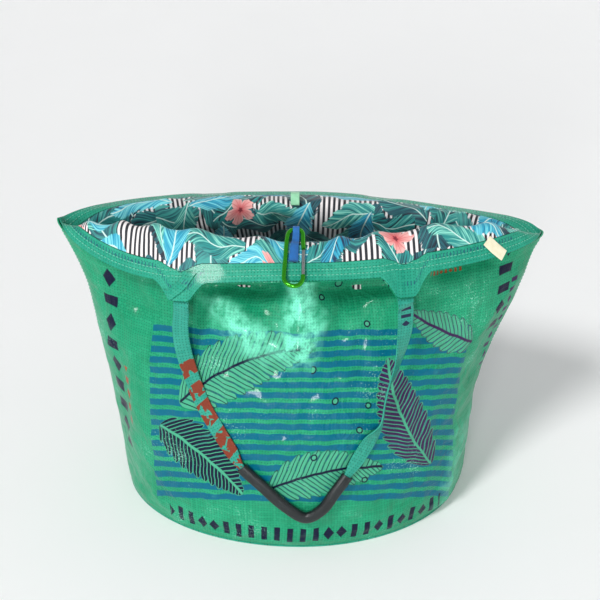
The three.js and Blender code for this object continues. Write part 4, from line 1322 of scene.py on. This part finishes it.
def sack_surface(tree, shader, place, colour, tapes, cloud):
    """Film gloss, rubbed duller in places, over the tapes and small creases."""
    crease = put(tree, NOISE, {"Vector": place, **SOFT_CREASE})
    fold = put(tree, NOISE, {"Vector": place, **SHARP_CREASE})
    sharp = put(tree, MATH, (put(tree, MATH, (fold, 0.5), operation="SUBTRACT"),), operation="ABSOLUTE")
    height = put(tree, MATH, (crease, SOFT_CREASE_RISE, tapes.outputs["Height"]), operation="MULTIPLY_ADD")
    height = put(tree, MATH, (sharp, SHARP_CREASE_RISE, height), operation="MULTIPLY_ADD")
    bump = put(tree, BUMP, {"Height": height, "Strength": 0.55, "Distance": 0.00035})
    rubbed = put(tree, RANGE, (cloud, 0.3, 0.7, *FILM_ROUGH))
    rough = put(tree, MATH, (tapes.outputs["Tape"], FILM_ROUGH_TAPE, rubbed), operation="MULTIPLY_ADD")
    finish(shader, colour, rough, bump, specular_ior_level=0.1, coat_weight=0.2, coat_roughness=0.1)


# The printed panel. Stripes stand in a block; the print's lines run straight across the cloth while
# the base seam is cut in a curve, so they seem to bow. Places are across and up from the seam's middle.
STRIPE_BLOCK = {"left": -160.0, "right": 184.0, "first": 66, "pitch": 11.6}
STRIPE_BLOCK.update({"closer": 4.2e-5, "count": 17.0, "share": 0.6, "wander": 0.16, "edge": 0.03})
PRINT_BOW = 0.0015
PRINT_BOW_EASE = 4.5e-6
PRINT_INKS = {"blue": "006680", "navy": "0d1432", "plum": "3c2150", "mint": "49ab86", "rust": "9a4f30"}
# Palm leaves: across, up, angle in degrees, length, width, ink of the leaf, ink of its lines
PALM_LEAVES = [
    (-60, 208, 24, 150, 62, "mint", "navy"),
    (-96, 112, -38, 118, 54, "navy", "mint"),
    (112, 152, 118, 128, 56, "plum", "mint"),
    (30, 96, 12, 122, 50, "mint", "navy"),
    (150, 236, 158, 84, 36, "mint", "plum"),
]
# Rows of bars and diamonds: upright or not, place across the row, start, end, half height, pitch, ink
PRINTED_ROWS = [
    (False, 18, -142, 168, 10, 13.5, "navy"),
    (True, -214, 60, 296, 9, 25, "navy"),
    (True, 222, 196, 300, 8, 22, "navy"),
    (True, 236, 150, 262, 4, 12, "plum"),
    (False, 286, 138, 174, 2.2, 5, "rust"),
    (True, -196, 96, 168, 3.5, 16, "rust"),
]
# Rings stand in an upright band: place of its middle, half width, lowest, and radius in cells
RING_SPREAD = 27
RING_BAND = {"middle": 52.0, "half": 40.0, "lowest": 70.0, "least": 0.09, "more": 0.07, "chance": 0.5}
# Mottle of the pale fold ridges, which are partly rubbed film and partly a painted highlight
SHEEN_AND_RUBBED_MOTTLE = {"Scale": 0.08, "Detail": 4.0, "Roughness": 0.65}
# Pale specks, partly worn print and partly painted glints on the film
WORN_SPECKS_AND_PAINTED_GLINTS = {"Scale": 0.5, "Detail": 3.0, "Roughness": 0.7}


def make_printed_sack():
    material, tree, shader, place = new_material("laminated woven polypropylene, printed")
    ground, tapes, cloud = sack_ground(tree, place, "0f8a60", "2fa97e", 0.0)
    at = put(tree, SPLIT, (place,))
    across, up = at.outputs["X"], at.outputs["Y"]
    bow = put(tree, MATH, (up, -PRINT_BOW_EASE, PRINT_BOW), operation="MULTIPLY_ADD")
    square = put(tree, MATH, (across, across), operation="MULTIPLY")
    line = put(tree, MATH, (square, bow, up), operation="MULTIPLY_ADD")
    printed = put(tree, JOIN, (across, line))

    block, half = STRIPE_BLOCK, STRIPE_BLOCK["share"] / 2
    above = put(tree, MATH, (line, block["first"]), operation="SUBTRACT")
    closer = put(tree, MATH, (above, block["closer"], 1 / block["pitch"]), operation="MULTIPLY_ADD")
    number = put(tree, MATH, (above, closer, half), operation="MULTIPLY_ADD")
    uneven = put(tree, NOISE, {"Vector": place, "Scale": 0.35, "Detail": 2.0})
    wander = put(tree, MATH, (uneven, block["wander"], -block["wander"] / 2), operation="MULTIPLY_ADD")
    part = put(tree, MATH, (put(tree, MATH, (number,), operation="FRACT"), wander), operation="ADD")
    off = put(tree, MATH, (put(tree, MATH, (part, half), operation="SUBTRACT"),), operation="ABSOLUTE")
    stripe = put(tree, RANGE, (off, half - block["edge"], half + block["edge"], 1.0, 0.0))
    for value, low, high in ((number, 0.0, block["count"]), (across, block["left"], block["right"])):
        begun = put(tree, MATH, (value, low), operation="GREATER_THAN")
        before_end = put(tree, MATH, (value, high), operation="LESS_THAN")
        within = put(tree, MATH, (begun, before_end), operation="MULTIPLY")
        stripe = put(tree, MATH, (stripe, within), operation="MULTIPLY")
    colour = put(tree, MIX, (stripe, ground, PRINT_INKS["blue"]), data_type="RGBA")

    for x, y, angle, long, wide, ink, lines in PALM_LEAVES:
        leaf = put(tree, GROUP, {"Place": printed, "Centre": (x, y, 0.0), "Angle": math.radians(-angle),
                                 "Length": long, "Width": wide}, node_tree=palm_leaf)
        colour = put(tree, MIX, (leaf.outputs["Fill"], colour, PRINT_INKS[ink]), data_type="RGBA")
        colour = put(tree, MIX, (leaf.outputs["Line"], colour, PRINT_INKS[lines]), data_type="RGBA")

    cells = put(tree, VORONOI, {"Vector": printed, "Scale": 1 / RING_SPREAD, "Randomness": 0.8},
                voronoi_dimensions="2D")
    chance = put(tree, CHANNELS, (cells.outputs["Color"],))
    radius = put(tree, MATH, (chance.outputs["Green"], RING_BAND["more"], RING_BAND["least"]),
                 operation="MULTIPLY_ADD")
    from_ring = put(tree, MATH, (cells.outputs["Distance"], radius), operation="SUBTRACT")
    ring = put(tree, RANGE, (put(tree, MATH, (from_ring,), operation="ABSOLUTE"), 0.018, 0.035, 1.0, 0.0))
    disc = put(tree, RANGE, (from_ring, -0.02, 0.0, 1.0, 0.0))
    chosen = put(tree, MATH, (chance.outputs["Red"], RING_BAND["chance"]), operation="GREATER_THAN")
    beside = put(tree, MATH, (across, RING_BAND["middle"]), operation="SUBTRACT")
    beside = put(tree, MATH, (beside,), operation="ABSOLUTE")
    near = put(tree, MATH, (beside, RING_BAND["half"]), operation="LESS_THAN")
    high = put(tree, MATH, (line, RING_BAND["lowest"]), operation="GREATER_THAN")
    for allowed in (near, high):
        chosen = put(tree, MATH, (chosen, allowed), operation="MULTIPLY")
    for shape, ink in ((disc, "mint"), (ring, "navy")):
        drawn = put(tree, MATH, (shape, chosen), operation="MULTIPLY")
        colour = put(tree, MIX, (drawn, colour, PRINT_INKS[ink]), data_type="RGBA")

    for upright, level, start, end, half, pitch, ink in PRINTED_ROWS:
        along, beside = (up, across) if upright else (across, up)
        beside = put(tree, MATH, (beside, level), operation="SUBTRACT")
        row = put(tree, GROUP, {"Along": along, "Across": beside, "Start": start, "End": end,
                                "Half": half, "Pitch": pitch}, node_tree=printed_row)
        colour = put(tree, MIX, (row, colour, PRINT_INKS[ink]), data_type="RGBA")

    # Pale mint painted on the fold ridges, with the weave's dark dots in it: partly film rubbed pale, partly
    # a painted highlight on the folds
    wear_and_painted_sheen = put(tree, "ShaderNodeAttribute", attribute_name="wear_and_painted_sheen").outputs["Fac"]
    mottle = put(tree, NOISE, {"Vector": place, **SHEEN_AND_RUBBED_MOTTLE})
    rubbed = put(tree, MATH, (wear_and_painted_sheen, put(tree, RANGE, (mottle, 0.38, 0.58, 0.15, 1.0))), operation="MULTIPLY")
    colour = put(tree, MIX, (rubbed, colour, "7ff0cc"), data_type="RGBA")
    painted_sheen_dots = put(tree, MATH, (put(tree, MATH, (rubbed, tapes.outputs["Gap"]), operation="MULTIPLY"), 0.5),
               operation="MULTIPLY")
    colour = put(tree, MIX, (painted_sheen_dots, colour, "0f6e55"), data_type="RGBA")
    # Pale mint specks: partly worn print, partly painted glints on the film
    speck_and_glint = put(tree, NOISE, {"Vector": place, **WORN_SPECKS_AND_PAINTED_GLINTS})
    worn = put(tree, MATH, (speck_and_glint, cloud), operation="MULTIPLY")
    worn = put(tree, RANGE, (worn, 0.34, 0.45, 0.0, 0.75))
    colour = put(tree, MIX, (worn, colour, "9fe6cd"), data_type="RGBA")
    sack_surface(tree, shader, place, colour, tapes, cloud)
    return material


# The same cloth without the block print, for the base, the facings and the lap at the left tab
def make_band_cloth(name, seed, dashes):
    """Facing cloth, a little bluer; dashes are rows: start, end and distance from the rim."""
    material, tree, shader, place = new_material(name)
    ground, tapes, cloud = sack_ground(tree, place, "1b8f75", "3cae90", seed)
    at = put(tree, SPLIT, (place,))
    for start, end, level in dashes:
        beside = put(tree, MATH, (at.outputs["Y"], level), operation="SUBTRACT")
        row = put(tree, GROUP, {"Along": at.outputs["X"], "Across": beside, "Start": start, "End": end,
                                "Half": 2.3, "Pitch": 3.6, "Bar": 0.28}, node_tree=printed_row)
        faint = put(tree, MATH, (row, 0.75), operation="MULTIPLY")
        ground = put(tree, MIX, (faint, ground, "23506a"), data_type="RGBA")
    sack_surface(tree, shader, place, ground, tapes, cloud)
    return material


# Straps are strips of other sacks, folded lengthwise, with the same taped grid and film. Some lengths
# carry blocks of rust print with shapes left out: start and end along the strap.
STRAP_BLOCKS = [(84, 101), (109, 124), (129, 154), (162, 190), (194, 204)]
STRAP_MARKS = (524, 548)
STRAP_SLANT = 0.35
BLOCK_SHIFT = 5


def make_strap_cloth(name, seed, blocks, marks):
    material, tree, shader, place = new_material(name)
    colour, tapes, cloud = sack_ground(tree, place, "1f8a78", "3ca690", seed)
    at = put(tree, SPLIT, (place,))
    blot = put(tree, NOISE, {"Vector": place, "Scale": 0.11, "Detail": 1.0, "Distortion": 0.6})
    left_out = put(tree, RANGE, (blot, 0.55, 0.58, 1.0, 0.0))
    wander = put(tree, MATH, (at.outputs["X"], STRAP_SLANT, at.outputs["Y"]), operation="MULTIPLY_ADD")
    for start, end in blocks:
        middle = put(tree, MATH, (wander, (start + end) / 2 + BLOCK_SHIFT), operation="SUBTRACT")
        off = put(tree, MATH, (middle,), operation="ABSOLUTE")
        inside = put(tree, RANGE, (off, (end - start) / 2 - 0.5, (end - start) / 2, 1.0, 0.0))
        inside = put(tree, MATH, (inside, left_out), operation="MULTIPLY")
        colour = put(tree, MIX, (inside, colour, "803825"), data_type="RGBA")
    if marks:
        beside = put(tree, MATH, (at.outputs["X"], STRAP_W / 2), operation="SUBTRACT")
        row = put(tree, GROUP, {"Along": at.outputs["Y"], "Across": beside, "Start": marks[0],
                                "End": marks[1], "Half": 5.0, "Pitch": 9.0}, node_tree=printed_row)
        colour = put(tree, MIX, (row, colour, "1d2846"), data_type="RGBA")
    sack_surface(tree, shader, place, colour, tapes, cloud)
    return material


# Printed polyester lining: thin dark and white stripes under layers of banana leaves and hibiscus.
# Its threads are far too fine to show, so they are drawn at 0.9 mm. The eye sees a matt bright print.
LINING_THREAD = 0.9
LINING_STRIPE = 4.4
# Leaf layers from the bottom up: shift, spread, length, width, dark, middle and bright colours
LINING_LEAVES = [
    ((3.1, 7.7, 0.0), 46.0, 74.0, 30.0, "101a2e", "1c5a66", "3fa39b"),
    ((11.4, 2.9, 0.0), 52.0, 70.0, 26.0, "13293c", "1f8f8c", "8fe3cf"),
    ((6.2, 15.3, 0.0), 58.0, 64.0, 24.0, "10365a", "1f9fc0", "7fe0e6"),
]


def make_lining_cloth():
    material, tree, shader, place = new_material("polyester lining, printed")
    at = put(tree, SPLIT, (place,))
    number = put(tree, MATH, (at.outputs["X"], 1 / LINING_STRIPE), operation="MULTIPLY")
    centred = put(tree, MATH, (put(tree, MATH, (number,), operation="FRACT"), 0.5), operation="SUBTRACT")
    off = put(tree, MATH, (centred,), operation="ABSOLUTE")
    striped = put(tree, RANGE, (off, 0.22, 0.28, 0.0, 1.0))
    colour = put(tree, MIX, (striped, "f4eeee", "1a1f28"), data_type="RGBA")
    for shift, spread, long, wide, dark, middle, bright in LINING_LEAVES:
        leaf = put(tree, GROUP, {"Place": place, "Shift": shift, "Spread": spread, "Length": long,
                                 "Width": wide}, node_tree=scattered_leaves)
        tone = put(tree, MATH, (leaf.outputs["Tone"], 0.25, leaf.outputs["Streak"]), operation="MULTIPLY_ADD")
        blade = dark
        for start, full, ink in ((0.42, 0.56, middle), (0.62, 0.8, bright)):
            share = put(tree, RANGE, (tone, start, full, 0.0, 1.0))
            blade = put(tree, MIX, (share, blade, ink), data_type="RGBA")
        blade = put(tree, MIX, (leaf.outputs["Rib"], blade, "cfeee6"), data_type="RGBA")
        colour = put(tree, MIX, (leaf.outputs["Mask"], colour, blade), data_type="RGBA")
    flower = put(tree, GROUP, {"Place": place, "Shift": (4.4, 9.1, 0.0)}, node_tree=scattered_flowers)
    paler = put(tree, RANGE, (flower.outputs["Out"], 0.1, 0.9, 0.0, 1.0))
    petal = put(tree, MIX, (paler, "d4545a", "f6b9b4"), data_type="RGBA")
    lined = put(tree, RANGE, (flower.outputs["Vein"], 0.6, 1.0, 0.0, 0.5))
    heart = put(tree, RANGE, (flower.outputs["Out"], 0.12, 0.2, 1.0, 0.0))
    for share, ink in ((lined, "c2474f"), (heart, "7d1f2e")):
        petal = put(tree, MIX, (share, petal, ink), data_type="RGBA")
    colour = put(tree, MIX, (flower.outputs["Mask"], colour, petal), data_type="RGBA")
    threads = put(tree, GROUP, {"Place": place, "Pitch": LINING_THREAD}, node_tree=weave)
    worn = put(tree, NOISE, {"Vector": place, "Scale": 0.03, "Detail": 3.0})
    bump = put(tree, BUMP, {"Height": threads.outputs["Height"], "Strength": 0.3, "Distance": 0.0002})
    finish(shader, colour, put(tree, RANGE, (worn, 0.3, 0.7, 0.55, 0.75)), bump, sheen_weight=0.15)
    return material


# Butyl rubber tube, cut from a tyre's: near black and smooth. The eye sees a soft gloss that a faint
# bloom dulls in patches, and pale scratches along it.
def make_rubber():
    material, tree, shader, place = new_material("butyl rubber, moulded")
    bloom = put(tree, NOISE, {"Vector": place, "Scale": 0.06, "Detail": 4.0, "Roughness": 0.65})
    bloomed = put(tree, RANGE, (bloom, 0.35, 0.7, 0.0, 1.0))
    colour = put(tree, MIX, (bloomed, "0c1113", "1b2224"), data_type="RGBA")
    stretched = put(tree, VECTOR, (place, (0.9, 0.08, 1.0)), operation="MULTIPLY")
    scratch = put(tree, NOISE, {"Vector": stretched, "Scale": 1.0, "Detail": 2.0})
    scratched = put(tree, RANGE, (scratch, 0.62, 0.7, 0.0, 0.4))
    colour = put(tree, MIX, (scratched, colour, "4a5456"), data_type="RGBA")
    bump = put(tree, BUMP, {"Height": scratch, "Strength": 0.25, "Distance": 0.0004})
    finish(shader, colour, put(tree, RANGE, (bloom, 0.3, 0.7, 0.3, 0.48)), bump)
    return material


# Anodised aluminium wire: clear green dye over drawn metal, with fine lines along the wire
def make_anodised():
    material, tree, shader, place = new_material("aluminium, green anodised")
    drawn = put(tree, NOISE, {"Vector": put(tree, VECTOR, (place, (6.0, 0.15, 1.0)), operation="MULTIPLY"),
                              "Scale": 1.0, "Detail": 2.0})
    colour = put(tree, MIX, (drawn, "1f8f18", "54c62e"), data_type="RGBA")
    bump = put(tree, BUMP, {"Height": drawn, "Strength": 0.15, "Distance": 0.0001})
    finish(shader, colour, put(tree, RANGE, (drawn, 0.3, 0.7, 0.1, 0.2)), bump, metallic=0.85)
    return material


# Steel rod of the gate: bright drawn steel, a little dull, with lines along it
def make_steel():
    material, tree, shader, place = new_material("steel, drawn")
    drawn = put(tree, NOISE, {"Vector": put(tree, VECTOR, (place, (5.0, 0.2, 1.0)), operation="MULTIPLY"),
                              "Scale": 1.0, "Detail": 3.0})
    colour = put(tree, MIX, (drawn, "8d9091", "c9cccb"), data_type="RGBA")
    bump = put(tree, BUMP, {"Height": drawn, "Strength": 0.15, "Distance": 0.0001})
    finish(shader, colour, put(tree, RANGE, (drawn, 0.3, 0.7, 0.22, 0.38)), bump, metallic=1.0)
    return material


# Woven narrow tape: threads 1.2 mm apart that show as a fine grid, with a soft matt sheen
WEBBING_THREAD = 1.2


def make_tape(name, low, high):
    material, tree, shader, place = new_material(name)
    threads = put(tree, GROUP, {"Place": place, "Pitch": WEBBING_THREAD}, node_tree=weave)
    soft = put(tree, NOISE, {"Vector": place, "Scale": 0.2, "Detail": 3.0})
    tone = put(tree, MATH, (threads.outputs["Height"], 0.5, soft), operation="MULTIPLY_ADD")
    share = put(tree, RANGE, (tone, 0.4, 1.1, 0.0, 1.0))
    colour = put(tree, MIX, (share, low, high), data_type="RGBA")
    bump = put(tree, BUMP, {"Height": threads.outputs["Height"], "Strength": 0.6, "Distance": 0.0003})
    finish(shader, colour, put(tree, RANGE, (soft, 0.3, 0.7, 0.6, 0.8)), bump, sheen_weight=0.2)
    return material


# Spun polyester thread: two plies that show as a fine ripple along each stitch
THREAD_RIPPLE = 900.0


def make_thread():
    material, tree, shader, _ = new_material("polyester thread, spun")
    place = put(tree, "ShaderNodeTexCoord").outputs["Object"]
    ply = put(tree, "ShaderNodeTexWave", {"Vector": place, "Scale": THREAD_RIPPLE, "Distortion": 1.0})
    colour = put(tree, MIX, (ply, "56b397", "8ed8bf"), data_type="RGBA")
    bump = put(tree, BUMP, {"Height": ply, "Strength": 0.4, "Distance": 0.0001})
    finish(shader, colour, put(tree, RANGE, (ply, 0.0, 1.0, 0.5, 0.65)), bump)
    return material


# Each piece's material. Dash rows are start, end and distance from the rim, or from the lap's inner end.
band_front = make_band_cloth("laminated woven polypropylene, band", 31.0, [(10, 200, 12.5), (398, 530, 13)])
band_back = make_band_cloth("laminated woven polypropylene, far band", 57.0, [(60, 300, 9), (410, 530, 9)])
plain_sack = make_band_cloth("laminated woven polypropylene, plain", 83.0, [])
printed_sack = make_printed_sack()
front_strip = make_strap_cloth("laminated woven polypropylene, strap", 11.0, STRAP_BLOCKS, STRAP_MARKS)
back_strip = make_strap_cloth("laminated woven polypropylene, far strap", 19.0, [(70, 84)], None)
rubber = make_rubber()
FINISHES = {
    "front_panel_cloth": printed_sack,
    "back_panel_cloth": printed_sack,
    "base_cloth": plain_sack,
    "front_facing_cloth": band_front,
    "back_facing_cloth": band_back,
    "lining_print_cloth": make_lining_cloth(),
    "front_strap_strip": front_strip,
    "back_strap_strip": back_strip,
    "front_grip_sleeve": rubber,
    "back_grip_sleeve": rubber,
    "clip_wire": make_anodised(),
    "clip_gate_rod": make_steel(),
    "clip_loop_tape": make_tape("polypropylene webbing, blue", "064a86", "166dba"),
    "back_loop_tape": make_tape("polypropylene webbing, pale green", "79c796", "a8e6bd"),
    "side_tab_tape": make_tape("cotton tape, cream", "e6dcb4", "faf4d8"),
    "front_tab_lap": make_band_cloth("laminated woven polypropylene, lap", 71.0, [(4, 38, 8)]),
}
make_stitches(make_thread())
for name, piece in pieces.items():
    if name in FINISHES:
        piece.data.materials.append(FINISHES[name])


# Studio: a pale floor that sweeps up into a round backdrop, a soft dome, a low box and a high window
SWEEP = [(0.01, 0), (1.5, 0), (3.0, 0), (3.5, 0.08), (3.9, 0.3), (4.15, 0.7), (4.25, 1.2), (4.3, 2.2)]
SWEEP_SIDES = 96
FLOOR_DROP = 0.0003


def make_studio():
    angle = np.linspace(0, 2 * math.pi, SWEEP_SIDES, endpoint=False)
    verts = [(r * math.cos(a), r * math.sin(a), z - FLOOR_DROP) for r, z in SWEEP for a in angle]
    faces = [tuple(range(SWEEP_SIDES))]
    for ring in range(len(SWEEP) - 1):
        for k in range(SWEEP_SIDES):
            low, low_next = ring * SWEEP_SIDES + k, ring * SWEEP_SIDES + (k + 1) % SWEEP_SIDES
            faces.append((low, low + SWEEP_SIDES, low_next + SWEEP_SIDES, low_next))
    mesh = bpy.data.meshes.new("backdrop")
    mesh.from_pydata(verts, [], faces)
    mesh.shade_smooth()
    backdrop = bpy.data.objects.new("backdrop", mesh)
    bpy.context.scene.collection.objects.link(backdrop)
    material, tree, shader, _ = new_material("paper backdrop, matt")
    place = put(tree, "ShaderNodeTexCoord").outputs["Object"]
    fibre = put(tree, NOISE, {"Vector": place, "Scale": 6.0, "Detail": 3.0})
    finish(shader, put(tree, MIX, (fibre, "f8f8f8", "fbfbfb"), data_type="RGBA"), roughness=0.9)
    mesh.materials.append(material)


make_studio()


def area_light(name, place, aim, size, power, colour="ffffff"):
    data = bpy.data.lights.new(name, "AREA")
    data.size = size
    data.energy = power
    data.color = linear(colour)[:3]
    light = bpy.data.objects.new(name, data)
    light.location = place
    direction = Vector(aim) - Vector(place)
    light.rotation_euler = direction.to_track_quat("-Z", "Y").to_euler()
    bpy.context.scene.collection.objects.link(light)


area_light("front box", (-0.35, -2.3, 0.85), (0, 0, 0.2), 0.36, 19)
sun = bpy.data.lights.new("high window", "SUN")
sun.energy = 1.7
sun.angle = math.radians(14)
high_window = bpy.data.objects.new("high window", sun)
high_window.rotation_euler = Vector((0.56, 0.70, -1)).to_track_quat("-Z", "Y").to_euler()
bpy.context.scene.collection.objects.link(high_window)

world = bpy.data.worlds.new("studio air")
bpy.context.scene.world = world
world.use_nodes = True
world.node_tree.nodes["Background"].inputs["Color"].default_value = linear("f4f6f7")
world.node_tree.nodes["Background"].inputs["Strength"].default_value = 0.43
bpy.context.scene.view_settings.view_transform = "Standard"
